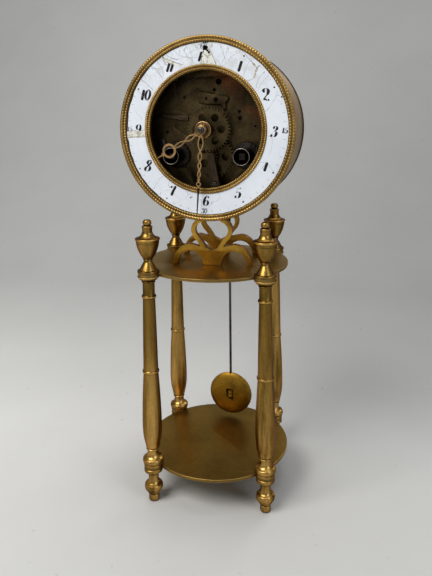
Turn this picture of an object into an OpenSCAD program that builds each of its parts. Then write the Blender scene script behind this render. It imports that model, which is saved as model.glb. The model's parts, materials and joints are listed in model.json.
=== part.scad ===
// Portico clock: a round drum clock on two lyre brackets above a four-column brass portico.
// The frame stands on z = 0, with the columns around the Z axis and the dial facing -Y.

/* [Portico] */
// Diameter of the two round plates
plate_d = 103.4; // [100:0.2:108]
// How far the column axes stand outside the plates' edge
column_out = 3.74; // [3:0.02:4.5]
// Thickness of the two round plates
plate_t = 2; // [1.6:0.1:2.6]
// Height of the lower plate's top face
lower_plate_z = 26.8; // [25.5:0.1:29]
// Height of the upper plate's top face
upper_plate_z = 164.3; // [158:0.1:170]
// Height of the urn finials above the upper plate
finial_h = 35.7; // [33:0.1:38]

/* [Columns] */
// Radius of the bulb at a column's base
bulb_r = 6.5; // [6.2:0.1:7]
// Height of that bulb
bulb_h = 5.8; // [5:0.1:6.4]
// Radius of a column at its low swelling
swell_r = 6.7; // [6.2:0.1:7]
// Radius of a column just under its capital
column_top_r = 4.05; // [3.8:0.05:4.4]
// Radius of a capital, and of the disc under each urn
capital_r = 7.3; // [6.9:0.1:7.8]
// Radius of the lid's edge on an urn
urn_r = 8.3; // [7.8:0.1:8.8]
// Radius of the round moulding on a foot
foot_ring_r = 6.4; // [6:0.1:6.9]

/* [Brackets] */
// Thickness of a bracket
bracket_t = 5; // [4:0.1:5.5]
// Width of a bracket over its outer feet
bracket_w = 56; // [54:0.5:60]
// Front face of the front bracket
front_bracket_y = -16.4; // [-17:0.1:-15]
// Front face of the back bracket
back_bracket_y = 18; // [16:0.1:19]
// Widest half-spread of the lyre arms
arm_spread = 14.6; // [13.5:0.1:15.5]

/* [Drum] */
// Height of the drum's axis
drum_axis_z = 258.5; // [256:0.1:262]
// Turn of the drum on its brackets
drum_turn = 8; // [0:0.5:9]
// Outer diameter of the front bezel
bezel_d = 123.6; // [122:0.2:126]
// Front face of the bezel along the drum's axis
bezel_front_y = -24; // [-25:0.1:-23.5]
// Back end of the drum
drum_back_y = 30.5; // [29.5:0.1:31]
// Radius of the opening in the middle of the dial
opening_r = 39.2; // [38:0.1:40]
// Width of the beaded ring inside the chapter ring
inner_bezel_w = 3.8; // [3:0.1:4.4]

/* [Hands] */
// Length of the hour hand
hour_hand_l = 38.6; // [36:0.1:39]
// Length of the minute hand
minute_hand_l = 56; // [52:0.1:56.5]
// Where the hour hand points, clockwise from twelve
hour_angle = 240; // [0:1:359]
// Where the minute hand points, clockwise from twelve
minute_angle = 184; // [0:1:359]

/* [Movement] */
// Diameter of the movement plates
movement_d = 100; // [98:0.5:104]
// Front face of the front movement plate
front_plate_y = -6; // [-6.5:0.1:-5.5]
// Distance between the two movement plates
plate_gap = 26; // [25.5:0.1:26.5]
// Sideways distance of each winding arbor from the centre
winding_x = 25; // [24.5:0.1:25.5]
// Drop of the winding arbors below the centre
winding_drop = 18; // [17.5:0.1:18.5]

/* [Pendulum] */
// Swing axis above the drum's axis
swing_z = 36; // [35.5:0.1:36.5]
// Pendulum length from the swing axis to the middle of the bob
pendulum_l = 248.5; // [246:0.1:249]
// Plane in which the pendulum swings, along the drum's axis
pendulum_y = 35; // [34.5:0.1:35.5]
// Radius of the bob
bob_r = 17.1; // [16:0.1:17.3]
// Thickness of the bob
bob_t = 7; // [6:0.1:7.5]

/* [Hidden] */
$fn = 64;

// Colours
gilt = "#b08a3c";
aged = "#6b5a3a";
yellow = "#c39a45";
enamel = "#eef0f2";
steel = "#4c4e52";

// Shared fits
stud_r = 1.5;
stud_l = 8;
run_clear = 0.05;
seat_clear = 0.1;
pivot_r = 0.45;
eps = 0.01;

// Portico, worked out
corner = (plate_d / 2 + column_out) / sqrt(2);
lower_under = lower_plate_z - plate_t;
upper_under = upper_plate_z - plate_t;
column_h = upper_under - lower_plate_z;
ear_inset = 0.4;

// Drum, worked out along its own axis
bezel_r = bezel_d / 2;
bezel_depth = 5;
lip_t = 1.2;
enamel_t = 1.3;
dial_plate_t = 1;
wall_t = 1;
drum_r = bezel_r - 4.3;
lip_r = bezel_r - 4.4;
dial_r = drum_r + 0.7;
enamel_y = bezel_front_y + lip_t;
dial_plate_y = enamel_y + enamel_t;
drum_front_y = dial_plate_y + dial_plate_t;
rear_ring_t = 1.5;
drum_end_y = drum_back_y - rear_ring_t;
post_ring_r = movement_d / 2 - 3;

// Movement, worked out
movement_t = 2;
inside_y = front_plate_y + movement_t;
back_plate_y = inside_y + plate_gap;
behind_y = back_plate_y + movement_t;
pillar_r = 3.2;
pillar_spots = [[26, 36], [-26, 36], [11, -42], [-11, -42]];
screw_head_r = 2.4;
screw_head_t = 1.4;
screw_r = 1.2;
pillar_screw_l = movement_t + 6;

// Tooth counts and modules of both trains and of the motion work
barrel_teeth = 72;
barrel_m = 0.5;
small_pinion = 8;
intermediate_teeth = 60;
centre_leaves = 10;
centre_teeth = 72;
centre_m = 0.42;
third_leaves = 6;
third_teeth = 60;
third_m = 0.36;
escape_leaves = 6;
escape_teeth = 30;
escape_r = 8;
cannon_teeth = 12;
minute_teeth = 36;
minute_leaves = 10;
hour_teeth = 40;
hour_m = 0.75;
second_teeth = 48;
second_m = 0.46;
pin_teeth = 49;
pin_m = 0.37;
pin_leaves = 8;
locking_leaves = 7;
locking_teeth = 42;
locking_m = 0.36;
warning_leaves = 6;
warning_teeth = 36;
warning_m = 0.34;
fly_leaves = 6;

// Reach between two meshed wheels
function reach(m, a, b) = m * (a + b) / 2;
// A point from its distance and angle
function polar(length, angle) = length * [cos(angle), sin(angle)];
// A point at a distance and an angle from another
function from(p, angle, length) = p + polar(length, angle);
// The angle of the line from one point to another
function heading(a, b) = atan2(b[1] - a[1], b[0] - a[0]);
// Where circles around two points cross, on the left of the line between them
function crossing(a, ra, b, rb) =
  let (d = norm(b - a), along = (ra * ra - rb * rb + d * d) / (2 * d))
  a + (b - a) / d * along + [a[1] - b[1], b[0] - a[0]] / d * sqrt(ra * ra - along * along);
// The turn that brings wheel b's gap onto wheel a's tooth
function mesh_turn(angle, za, turn_a, zb) = angle + 180 - 360 / zb * (0.5 - (angle - turn_a) * za / 360);

// Arbor places in the dial's plane, seen from the front
centre = [0, 0];
going_at = [winding_x, -winding_drop];
strike_at = [-winding_x, -winding_drop];
intermediate_at = crossing(going_at, reach(barrel_m, barrel_teeth, small_pinion),
  centre, reach(barrel_m, intermediate_teeth, centre_leaves));
pallet_at = [0, swing_z];
escape_at = pallet_at - [0, escape_r + 4.4];
third_at = crossing(escape_at, reach(third_m, third_teeth, escape_leaves),
  centre, reach(centre_m, centre_teeth, third_leaves));
second_at = from(strike_at, 100, reach(barrel_m, barrel_teeth, small_pinion));
pin_at = from(second_at, 70, reach(second_m, second_teeth, pin_leaves));
locking_at = from(pin_at, 60, reach(pin_m, pin_teeth, locking_leaves));
warning_at = from(locking_at, -10, reach(locking_m, locking_teeth, warning_leaves));
fly_at = from(warning_at, 90, reach(warning_m, warning_teeth, fly_leaves));
motion_reach = reach(hour_m, minute_leaves, hour_teeth);
cannon_m = 2 * motion_reach / (cannon_teeth + minute_teeth);
motion_angle = -82;
minute_at = from(centre, motion_angle, motion_reach);
hammer_at = [-38, -14];
bell_post_at = [20, -8];

// Points of a smooth bend from a to b, pulled toward c
function bend(a, c, b, steps = 6) =
  [for (i = [0:steps]) let (t = i / steps) (1 - t) * (1 - t) * a + 2 * t * (1 - t) * c + t * t * b];
// Points of a round bead that stands out of a shaft between two heights
function bead(r, z0, z1, out, steps = 6) =
  [for (i = [0:steps]) let (a = 180 * i / steps) [r + out * sin(a), (z0 + z1) / 2 - (z1 - z0) / 2 * cos(a)]];

// A turned piece from its outline, listed from bottom to top
module turned(outline) {
  bottom = outline[0][1];
  top = outline[len(outline) - 1][1];
  rotate_extrude() polygon(concat([[0, bottom]], outline, [[0, top]]));
}

// The four corners of the portico, by sign of x and y
module at_corner(sx, sy) {
  translate([sx * corner, sy * corner, 0]) children();
}
module at_corners() {
  for (sx = [-1, 1], sy = [-1, 1]) at_corner(sx, sy) children();
}

// The drum's own frame: its axis along Y, its middle on the portico's axis
module head() {
  translate([0, 0, drum_axis_z]) rotate([0, 0, -drum_turn]) children();
}
// A flat shape in the dial's plane, as a slab between two depths
module slab(front, back) {
  head() translate([0, back, 0]) rotate([90, 0, 0]) linear_extrude(back - front) children();
}
module rod(front, back, p, r) {
  slab(front, back) translate(p) circle(r);
}
// A ring turned around the drum's axis, with [radius, depth] corners
module drum_ring(outline) {
  head() rotate([-90, 0, 0]) rotate_extrude() polygon(outline);
}
function depth(w) = inside_y + w;
function ahead(v) = front_plate_y - v;

// Lower and upper plates with an ear under each column
module round_plate(top, ear_r) {
  difference() {
    union() {
      translate([0, 0, top - plate_t]) cylinder(h = plate_t, r = plate_d / 2);
      at_corners() translate([0, 0, top - plate_t]) cylinder(h = plate_t, r = ear_r);
    }
    at_corners() translate([0, 0, top - plate_t - 1]) cylinder(h = plate_t + 2, r = stud_r + seat_clear);
  }
}

module lower_plate() {
  color(aged) round_plate(lower_plate_z, bulb_r - ear_inset);
}

slot_l = 22;
slot_w = 5;
module upper_plate() {
  color(aged) difference() {
    round_plate(upper_plate_z, capital_r - ear_inset);
    rotate([0, 0, -drum_turn]) translate([-slot_l / 2, pendulum_y - slot_w / 2, upper_under - 1])
      cube([slot_l, slot_w, plate_t + 2]);
    bracket_screw_spots() translate([0, 0, upper_under - 1])
      cylinder(h = plate_t + 2, r = screw_r + seat_clear);
  }
}

// Columns, from the lower plate to the upper one
neck_r = 3.5;
bottom_ring_z = 10.5;
mid_ring_z = 68.4;
top_ring_z = 121.1;
swell_z = 30;
mid_r = 5.1;
capital_h = 4.8;
module column(sx, sy) {
  h = column_h;
  outline = concat(
    bend([bulb_r - 0.8, 0], [bulb_r + 0.8, bulb_h * 0.4], [bulb_r - 1.1, bulb_h * 0.8], 8),
    bend([bulb_r - 1.6, bulb_h * 0.86], [neck_r + 0.2, bulb_h], [neck_r, bulb_h + 1.6]),
    [[neck_r, bottom_ring_z - 1]],
    bead(neck_r, bottom_ring_z - 0.8, bottom_ring_z + 0.6, 0.7),
    bend([neck_r + 0.2, bottom_ring_z + 0.8], [neck_r + 1, bottom_ring_z + 0.9], [4.9, bottom_ring_z + 2.9]),
    bend([5.4, bottom_ring_z + 5.4], [swell_r - 0.1, swell_z - 9], [swell_r, swell_z], 8),
    bend([swell_r - 0.05, swell_z + 4], [swell_r - 0.4, swell_z + 22], [mid_r, mid_ring_z - 1.3], 8),
    bead(mid_r, mid_ring_z - 1.1, mid_ring_z + 1.1, 0.65),
    bend([mid_r, mid_ring_z + 1.3], [mid_r - 0.3, (mid_ring_z + top_ring_z) / 2],
      [column_top_r + 0.1, top_ring_z - 1.3], 8),
    bead(column_top_r + 0.1, top_ring_z - 1.1, top_ring_z + 1.1, 0.8),
    [[column_top_r, top_ring_z + 1.3], [column_top_r, h - capital_h - 0.1]],
    bead(column_top_r, h - capital_h, h - capital_h + 1.2, 0.6),
    bend([column_top_r + 0.5, h - capital_h + 1.4], [capital_r - 1.2, h - 2.8], [capital_r - 0.6, h - 1.3]),
    [[capital_r - 0.1, h - 1.2], [capital_r, h - 1.1], [capital_r, h]]
  );
  color(gilt) at_corner(sx, sy) translate([0, 0, lower_plate_z]) difference() {
    turned(outline);
    translate([0, 0, -1]) cylinder(h = stud_l + 1, r = stud_r + run_clear);
    translate([0, 0, h - stud_l]) cylinder(h = stud_l + 1, r = stud_r + run_clear);
  }
}

// Urn finials, whose studs pass the upper plate into the columns
base_disc_h = 1.8;
stem_r = 2.8;
stem_z = 8.4;
lid_z = 22.4;
spire_r = 3.3;
spire_z = 26.6;
module finial(sx, sy) {
  outline = concat(
    [[capital_r, 0], [capital_r, base_disc_h - 0.3], [capital_r - 0.3, base_disc_h]],
    bend([stem_r + 2.1, base_disc_h + 0.2], [stem_r + 1, base_disc_h + 2.6], [stem_r, stem_z - 2]),
    bead(stem_r, stem_z + 0.1, stem_z + 1.1, 0.5, 4),
    bend([stem_r + 0.5, stem_z + 1.3], [urn_r - 1.5, stem_z + 6], [urn_r - 0.5, lid_z - 0.7], 10),
    [[urn_r - 0.1, lid_z], [urn_r, lid_z + 0.3], [urn_r, lid_z + 0.8], [urn_r - 0.3, lid_z + 1.2]],
    bend([urn_r - 1.1, lid_z + 1.4], [spire_r + 0.9, lid_z + 1.9], [spire_r + 0.2, spire_z], 8),
    [[spire_r, spire_z + 1], [spire_r + 0.1, finial_h - 5.3], [spire_r + 0.25, finial_h - 5]],
    [[spire_r + 0.25, finial_h - 4.4], [spire_r, finial_h - 4.1], [2.4, finial_h - 3.9]],
    bead(1.7, finial_h - 3.9, finial_h, 1.2, 8)
  );
  color(gilt) at_corner(sx, sy) translate([0, 0, upper_plate_z]) union() {
    turned(outline);
    translate([0, 0, seat_clear - stud_l]) cylinder(h = stud_l, r = stud_r);
  }
}

// Feet, whose studs pass the lower plate into the columns
foot_end_r = 3.6;
foot_neck_r = 3.4;
toe_h = 5.6;
foot_bulb_z = 6.9;
foot_bulb_h = 8.1;
module foot(sx, sy) {
  h = lower_under;
  outline = concat(
    bend([2.4, 0], [foot_end_r, 0], [foot_end_r, 1.4], 5),
    bend([foot_end_r, toe_h - 1], [foot_end_r, toe_h - 0.2], [foot_end_r - 0.5, toe_h], 4),
    [[foot_end_r - 0.5, foot_bulb_z - 0.3]],
    bead(foot_neck_r, foot_bulb_z, foot_bulb_z + foot_bulb_h, foot_ring_r - foot_neck_r, 10),
    bend([foot_neck_r, h - 5.7], [foot_neck_r + 0.6, h - 3.7], [foot_ring_r - 0.5, h - 2.9]),
    [[foot_ring_r, h - 2.3], [foot_ring_r, h]]
  );
  color(gilt) at_corner(sx, sy) union() {
    turned(outline);
    translate([0, 0, h - 1]) cylinder(h = plate_t + stud_l + 1 - seat_clear, r = stud_r);
  }
}

// Lyre brackets: a pedestal, two arches with feet and two curled arms, cut from flat plate
arm_h = drum_axis_z - drum_r - upper_plate_z;
pedestal_w = 6.2;
arch_inner_h = 10.6;
arch_outer_h = 15;
arch_foot_w = 3.3;
foot_screw_x = (bracket_w - arch_foot_w) / 2;
foot_screw_l = 3.5;
arm_half = 1.5;
arm_top_x = 6.4;
// The outline of a strap from its middle line and the half-width at each of its points
function strap(path, half) =
  let (n = len(path) - 1,
    side = [for (i = [0:n])
      let (d = path[min(i + 1, n)] - path[max(i - 1, 0)]) [-d[1], d[0]] / norm(d) * half[i]])
  concat([for (i = [0:n]) path[i] + side[i]], [for (i = [n:-1:0]) path[i] - side[i]]);

module lyre_half() {
  outer_x = bracket_w / 2;
  inner_x = outer_x - arch_foot_w;
  mid_x = (pedestal_w + inner_x) / 2;
  half_in = (inner_x - pedestal_w) / 2;
  half_out = outer_x - mid_x;
  arch = concat(
    [for (i = [0:12]) let (a = 180 * i / 12) [mid_x + half_in * cos(a), arch_inner_h * sin(a)]],
    [[0, 0], [0, arch_inner_h], [3, arch_inner_h + 1.6]],
    [for (i = [7:-1:0]) let (a = 90 * i / 7) [mid_x + half_out * cos(a), arch_outer_h * sin(a)]]
  );
  path = concat(
    bend([4.2, arch_inner_h - 1], [7.4, arm_h * 0.44], [arm_spread - arm_half - 1.4, arm_h * 0.57]),
    bend([arm_spread - arm_half - 0.4, arm_h * 0.63], [arm_spread - arm_half + 1, arm_h * 0.8],
      [arm_top_x + 0.8, arm_h * 0.88], 8),
    [[arm_top_x, arm_h - arm_screw_l], [arm_top_x, arm_h + 2.2]]
  );
  half = [for (i = [0:len(path) - 1]) arm_half];
  linear_extrude(bracket_t) polygon(arch);
  linear_extrude(bracket_t) polygon(strap(path, half));
}

module bracket_screw_spots() {
  for (sx = [-1, 1], y = [front_bracket_y, back_bracket_y])
    translate([sx * foot_screw_x, y + bracket_t / 2, 0]) children();
}

module arm_screw_spots() {
  for (sx = [-1, 1], y = [front_bracket_y, back_bracket_y])
    translate([sx * arm_top_x, y + bracket_t / 2, 0]) children();
}
arm_screw_r = 0.8;
arm_screw_l = 3;
arm_screw_z = upper_plate_z + arm_h - arm_screw_l;

module bracket(y) {
  difference() {
    translate([0, y + bracket_t, upper_plate_z]) rotate([90, 0, 0]) union() {
      lyre_half();
      mirror([1, 0, 0]) lyre_half();
    }
    rod(bezel_front_y, drum_back_y, centre, drum_r);
    bracket_screw_spots() translate([0, 0, upper_plate_z - 1])
      cylinder(h = foot_screw_l + 1.5, r = screw_r + run_clear);
    arm_screw_spots() translate([0, 0, arm_screw_z]) cylinder(h = 10, r = arm_screw_r + run_clear);
  }
}

module front_bracket() {
  color(gilt) bracket(front_bracket_y);
}

module back_bracket() {
  color(gilt) bracket(back_bracket_y);
}

// Drum: an open tube between the front bezel and the rear rim
module drum_case() {
  color(yellow) difference() {
    rod(drum_front_y, drum_end_y, centre, drum_r);
    rod(drum_front_y - 1, drum_end_y + 1, centre, drum_r - wall_t);
    arm_screw_spots() translate([0, 0, arm_screw_z]) cylinder(h = 14, r = arm_screw_r + seat_clear);
  }
}

module front_bezel() {
  back = bezel_front_y + bezel_depth;
  color(gilt) drum_ring([
    [lip_r, bezel_front_y + 0.5], [lip_r + 0.8, bezel_front_y], [bezel_r - 1.4, bezel_front_y],
    [bezel_r, bezel_front_y + 1.2], [bezel_r, back - 1], [bezel_r - 0.8, back],
    [drum_r, back], [drum_r, drum_front_y], [dial_r + 0.1, drum_front_y], [dial_r + 0.1, enamel_y],
    [lip_r, enamel_y]
  ]);
}

ring_inner_r = opening_r + 2;
module dial_plate() {
  color(aged) union() {
    difference() {
      rod(dial_plate_y, drum_front_y, centre, dial_r);
      rod(dial_plate_y - 1, drum_front_y + 1, centre, ring_inner_r);
    }
    for (a = [45:90:315]) rod(drum_front_y - eps, front_plate_y, from(centre, a, post_ring_r), 2);
  }
}

module dial_ring() {
  color(enamel) difference() {
    rod(enamel_y, dial_plate_y, centre, dial_r);
    rod(enamel_y - 1, dial_plate_y + 1, centre, ring_inner_r);
  }
}

module inner_bezel() {
  outer = opening_r + inner_bezel_w;
  front = enamel_y - 1;
  color(gilt) drum_ring([
    [opening_r, front + 0.4], [opening_r + 0.5, front], [outer - 0.6, front], [outer, front + 0.5],
    [outer, enamel_y], [ring_inner_r - seat_clear, enamel_y],
    [ring_inner_r - seat_clear, drum_front_y], [opening_r, drum_front_y]
  ]);
}

module rear_bezel() {
  color(aged) drum_ring([
    [drum_r - 2, drum_end_y], [drum_r + 0.7, drum_end_y], [drum_r + 0.7, drum_back_y - 0.4],
    [drum_r + 0.2, drum_back_y], [drum_r - 2, drum_back_y]
  ]);
}

// Movement frame
small_arbors = [intermediate_at, third_at, escape_at, second_at, pin_at, locking_at, warning_at, fly_at];
winding_r = 2.5;
winding_pivot_r = 2;
centre_arbor_r = 1.5;
module pivot_holes(front, back) {
  for (p = small_arbors) rod(front, back, p, pivot_r + run_clear);
  for (p = pillar_spots) rod(front, back, p, screw_r + seat_clear);
}

module front_plate() {
  color(aged) difference() {
    rod(front_plate_y, inside_y, centre, movement_d / 2);
    pivot_holes(front_plate_y - 1, inside_y + 1);
    rod(front_plate_y - 1, inside_y + 1, centre, centre_arbor_r + run_clear);
    for (p = [pallet_at, minute_at]) rod(front_plate_y - 1, inside_y + 1, p, pivot_r + run_clear);
    for (p = [going_at, strike_at]) rod(front_plate_y - 1, inside_y + 1, p, winding_r + run_clear);
    rod(front_plate_y - 1, inside_y + 1, cock_foot_at, screw_r + run_clear);
  }
}

second_pivot_r = 1;
pallet_hole_r = 2;
cock_foot_x = 13;
cock_foot_z = swing_z + 4;
hammer_stud_r = 1.5;
hammer_stud_l = 6;
module back_plate() {
  color(aged) union() {
    difference() {
      rod(back_plate_y, behind_y, centre, movement_d / 2);
      pivot_holes(back_plate_y - 1, behind_y + 1);
      rod(back_plate_y - 1, behind_y + 1, second_at, second_pivot_r + run_clear);
      rod(back_plate_y - 1, behind_y + 1, centre, pivot_r + run_clear);
      rod(back_plate_y - 1, behind_y + 1, pallet_at, pallet_hole_r);
      for (p = [going_at, strike_at]) rod(back_plate_y - 1, behind_y + 1, p, winding_pivot_r + run_clear);
      for (s = [-1, 1])
        rod(back_plate_y - 1, behind_y + 1, [s * cock_foot_x, cock_foot_z], screw_r + run_clear);
    }
    rod(behind_y - eps, behind_y + hammer_stud_l, hammer_at, hammer_stud_r);
  }
}

module plate_pillars() {
  color(yellow) for (p = pillar_spots) difference() {
    rod(inside_y, back_plate_y, p, pillar_r);
    rod(inside_y - 1, back_plate_y + 1, p, screw_r + run_clear);
  }
}

// Screws: a round head and a plain shank, along the drum's axis or upright
module plate_screw(p, seat, direction, length) {
  head_end = seat + direction * screw_head_t;
  shank_end = seat - direction * length;
  rod(min(seat, head_end), max(seat, head_end), p, screw_head_r);
  rod(min(seat, shank_end), max(seat, shank_end), p, screw_r);
}

module screws() {
  color(steel) union() {
    for (p = pillar_spots) {
      plate_screw(p, front_plate_y, -1, pillar_screw_l);
      plate_screw(p, behind_y, 1, pillar_screw_l);
    }
    for (s = [-1, 1]) plate_screw([s * cock_foot_x, cock_foot_z], cock_back_y, 1, cock_back_y - back_plate_y);
    plate_screw(cock_foot_at, cock_front_y, -1, inside_y - cock_front_y);
    bracket_screw_spots() {
      translate([0, 0, upper_under - screw_head_t]) cylinder(h = screw_head_t, r = screw_head_r);
      translate([0, 0, upper_under - eps]) cylinder(h = plate_t + foot_screw_l, r = screw_r);
    }
    intersection() {
      arm_screw_spots() translate([0, 0, arm_screw_z + arm_screw_l])
        cylinder(h = 1.4 + 2 * wall_t + screw_head_t, r = screw_head_r);
      rod(drum_front_y, drum_end_y, centre, drum_r - wall_t);
    }
    arm_screw_spots() translate([0, 0, arm_screw_z + 0.4])
      cylinder(h = arm_screw_l + 2 * wall_t, r = arm_screw_r);
  }
}

// Teeth: [share of module above or below the pitch circle, share of pitch to each side]
wheel_tooth = [[-1.3, 0.25], [0, 0.23], [1, 0.06]];
pinion_tooth = [[-1.4, 0.15], [0, 0.18], [0.6, 0.07]];
function tooth_points(tooth, m, z, middle) =
  [for (side = [-1, 1], k = [0:2])
    let (i = side < 0 ? k : 2 - k, r = m * (z / 2 + tooth[i][0]), a = middle + side * tooth[i][1] * 360 / z)
    polar(r, a)];
module toothed(z, m, tooth, turn) {
  polygon([for (i = [0:z - 1]) each tooth_points(tooth, m, z, turn + i * 360 / z)]);
}

// A wheel with a row of round lightening holes
module crossed_wheel(front, back, p, z, m) {
  outer = m * z / 2;
  difference() {
    slab(front, back) translate(p) toothed(z, m, wheel_tooth, 0);
    for (a = [0:60:300]) rod(front - 1, back + 1, from(p, a + 30, outer * 0.58), outer * 0.2);
  }
}

module pinion(front, back, p, z, m, turn) {
  slab(front, back) translate(p) toothed(z, m, pinion_tooth, turn);
}

// A train arbor between the plates: shaft, two pivots, wheel and pinion
end_shake = 0.4;
pinion_l = 3;
wheel_t = 1.2;
mesh_lead = 0.9;
barrel_w = 2;
low_wheel_w = 17;
centre_wheel_w = 20.8;
third_wheel_w = 12;
pin_wheel_w = 8;
locking_wheel_w = 13;
warning_wheel_w = 5;
module train_arbor(p, leaves, pinion_m, pinion_turn, pinion_w, wheel_teeth, wheel_m, wheel_w) {
  shaft_r = pinion_m * (leaves / 2 + pinion_tooth[0][0]);
  rod(depth(end_shake), depth(plate_gap - end_shake), p, shaft_r);
  rod(front_plate_y + end_shake, behind_y - end_shake, p, pivot_r);
  pinion(depth(pinion_w), depth(pinion_w + pinion_l), p, leaves, pinion_m, pinion_turn);
  if (wheel_teeth > 0) crossed_wheel(depth(wheel_w), depth(wheel_w + wheel_t), p, wheel_teeth, wheel_m);
}

// Barrels with their mainsprings and winding arbors
barrel_wheel_t = 2.5;
barrel_l = 11;
barrel_r = 17;
barrel_wall = 1;
core_r = 4.5;
module barrel(p) {
  floor_w = barrel_w + barrel_wheel_t;
  difference() {
    union() {
      slab(depth(barrel_w), depth(floor_w)) translate(p) toothed(barrel_teeth, barrel_m, wheel_tooth, 0);
      rod(depth(floor_w - eps), depth(barrel_w + barrel_l), p, barrel_r);
    }
    rod(depth(floor_w), depth(barrel_w + barrel_l + 1), p, barrel_r - barrel_wall);
    rod(depth(0), depth(floor_w + 1), p, winding_r + run_clear);
  }
}

spring_turns = 5;
spring_t = 0.8;
function spiral(r0, r1, turns, steps) =
  [for (i = [0:turns * steps]) let (t = i / (turns * steps)) polar(r0 + (r1 - r0) * t, 360 * turns * t)];
module mainspring(p) {
  first = core_r + 0.7;
  last = barrel_r - barrel_wall - 0.2;
  inner_edge = spiral(first, last - spring_t, spring_turns, 16);
  outer_edge = spiral(first + spring_t, last, spring_turns, 16);
  floor_w = barrel_w + barrel_wheel_t;
  slab(depth(floor_w), depth(floor_w + 7.5)) translate(p)
    polygon(concat(inner_edge, [for (i = [len(outer_edge) - 1:-1:0]) outer_edge[i]]));
}

ratchet_teeth = 20;
ratchet_r = 9.5;
ratchet_v = 0.3;
ratchet_t = 2;
ratchet_depth = 1.2;
collar_r = 5.8;
square_w = 4.2;
square_v = 13;
module winding_arbor(p, side) {
  floor_w = barrel_w + barrel_wheel_t;
  rod(depth(floor_w + 0.3), depth(floor_w + 8), p, core_r);
  rod(ahead(ratchet_v + ratchet_t + 2), depth(plate_gap - 0.5), p, winding_r);
  rod(depth(plate_gap - 1), behind_y - 0.3, p, winding_pivot_r);
  slab(ahead(ratchet_v + ratchet_t), ahead(ratchet_v)) translate(p) mirror([side < 0 ? 1 : 0, 0, 0])
    polygon([for (i = [0:ratchet_teeth - 1], k = [0, 1])
      polar(ratchet_r - k * ratchet_depth, (i + k * 0.15) * 360 / ratchet_teeth)]);
  rod(ahead(ratchet_v + ratchet_t + 1.4), ahead(ratchet_v + ratchet_t - eps), p, collar_r);
  slab(ahead(square_v), ahead(ratchet_v + ratchet_t)) translate(p) square(square_w, center = true);
}

module going_barrel() {
  color(yellow) barrel(going_at);
}

module strike_barrel() {
  color(yellow) barrel(strike_at);
}

module going_mainspring() {
  color(steel) mainspring(going_at);
}

module strike_mainspring() {
  color(steel) mainspring(strike_at);
}

module going_arbor() {
  color(steel) winding_arbor(going_at, 1);
}

module strike_arbor() {
  color(steel) winding_arbor(strike_at, -1);
}

// A click for each ratchet, resting on the front plate
click_reach = ratchet_r + 0.4;
module click(p, side) {
  slab(ahead(ratchet_t), front_plate_y) translate(p) mirror([side < 0 ? 1 : 0, 0, 0]) {
    translate([12, 8.4]) circle(2.6);
    polygon([[10, 10.2], [14.4, 7.4], polar(click_reach, 24), polar(click_reach, 32)]);
  }
}

module ratchet_clicks() {
  color(steel) union() {
    click(going_at, 1);
    click(strike_at, -1);
  }
}

// Going train
module intermediate_wheel() {
  turn = mesh_turn(heading(going_at, intermediate_at), barrel_teeth, 0, small_pinion);
  color(yellow)
    train_arbor(intermediate_at, small_pinion, barrel_m, turn, barrel_w - seat_clear,
      intermediate_teeth, barrel_m, low_wheel_w);
}

cannon_v = 2.6;
cannon_end_v = 22.4;
module centre_wheel() {
  turn = mesh_turn(heading(intermediate_at, centre), intermediate_teeth, 0, centre_leaves);
  color(yellow) union() {
    rod(ahead(cannon_end_v - 2), depth(2), centre, centre_arbor_r);
    rod(depth(1), depth(plate_gap - end_shake), centre, centre_arbor_r + 0.2);
    rod(depth(plate_gap - 1), behind_y - end_shake, centre, pivot_r);
    pinion(depth(low_wheel_w - mesh_lead), depth(low_wheel_w - mesh_lead + pinion_l), centre,
      centre_leaves, barrel_m, turn);
    crossed_wheel(depth(centre_wheel_w), depth(centre_wheel_w + wheel_t), centre, centre_teeth, centre_m);
  }
}

module third_wheel() {
  turn = mesh_turn(heading(centre, third_at), centre_teeth, 0, third_leaves);
  color(yellow) train_arbor(third_at, third_leaves, centre_m, turn, centre_wheel_w - mesh_lead,
    third_teeth, third_m, third_wheel_w);
}

// Corners of an escape tooth: [depth below the tip, share of the pitch]
escape_tooth = [[0, 0], [1.5, 0.12], [1.5, 0.62]];
escape_w = 23.6;
escape_t = 1.2;
module escape_wheel() {
  turn = mesh_turn(heading(third_at, escape_at), third_teeth, 0, escape_leaves);
  step = 360 / escape_teeth;
  color(yellow) union() {
    train_arbor(escape_at, escape_leaves, third_m, turn, third_wheel_w - mesh_lead, 0, 0, 0);
    difference() {
      slab(depth(escape_w), depth(escape_w + escape_t)) translate(escape_at)
        polygon([for (i = [0:escape_teeth - 1], point = escape_tooth)
          polar(escape_r - point[0], (i + point[1]) * step)]);
      for (a = [0:90:270])
        rod(depth(escape_w - 1), depth(escape_w + escape_t + 1), from(escape_at, a, 3.6), 1.7);
    }
  }
}

// Anchor: an arch over the escape wheel, clear of its tips through the swing
anchor_in = escape_r + 1.3;
anchor_out = escape_r + 3.3;
nib_r = escape_r + 0.55;
nib_angle = 42;
pallet_arbor_r = 1.1;
module anchor() {
  arch_angles = [for (i = [0:12]) nib_angle + (180 - 2 * nib_angle) * i / 12];
  w0 = escape_w - 0.3;
  w1 = escape_w + escape_t + 0.3;
  color(steel) union() {
    slab(depth(w0), depth(w1)) translate(escape_at) polygon(concat(
      [polar(nib_r, nib_angle)],
      [for (a = arch_angles) polar(anchor_out, a)],
      [polar(nib_r, 180 - nib_angle)],
      [for (i = [11:-1:1]) polar(anchor_in, arch_angles[i])]
    ));
    rod(depth(w0), depth(w1), pallet_at, 2.4);
    rod(depth(end_shake), crutch_y + crutch_hub_l, pallet_at, pallet_arbor_r);
    rod(front_plate_y + end_shake, cock_back_y - end_shake, pallet_at, pivot_r);
  }
}

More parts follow.
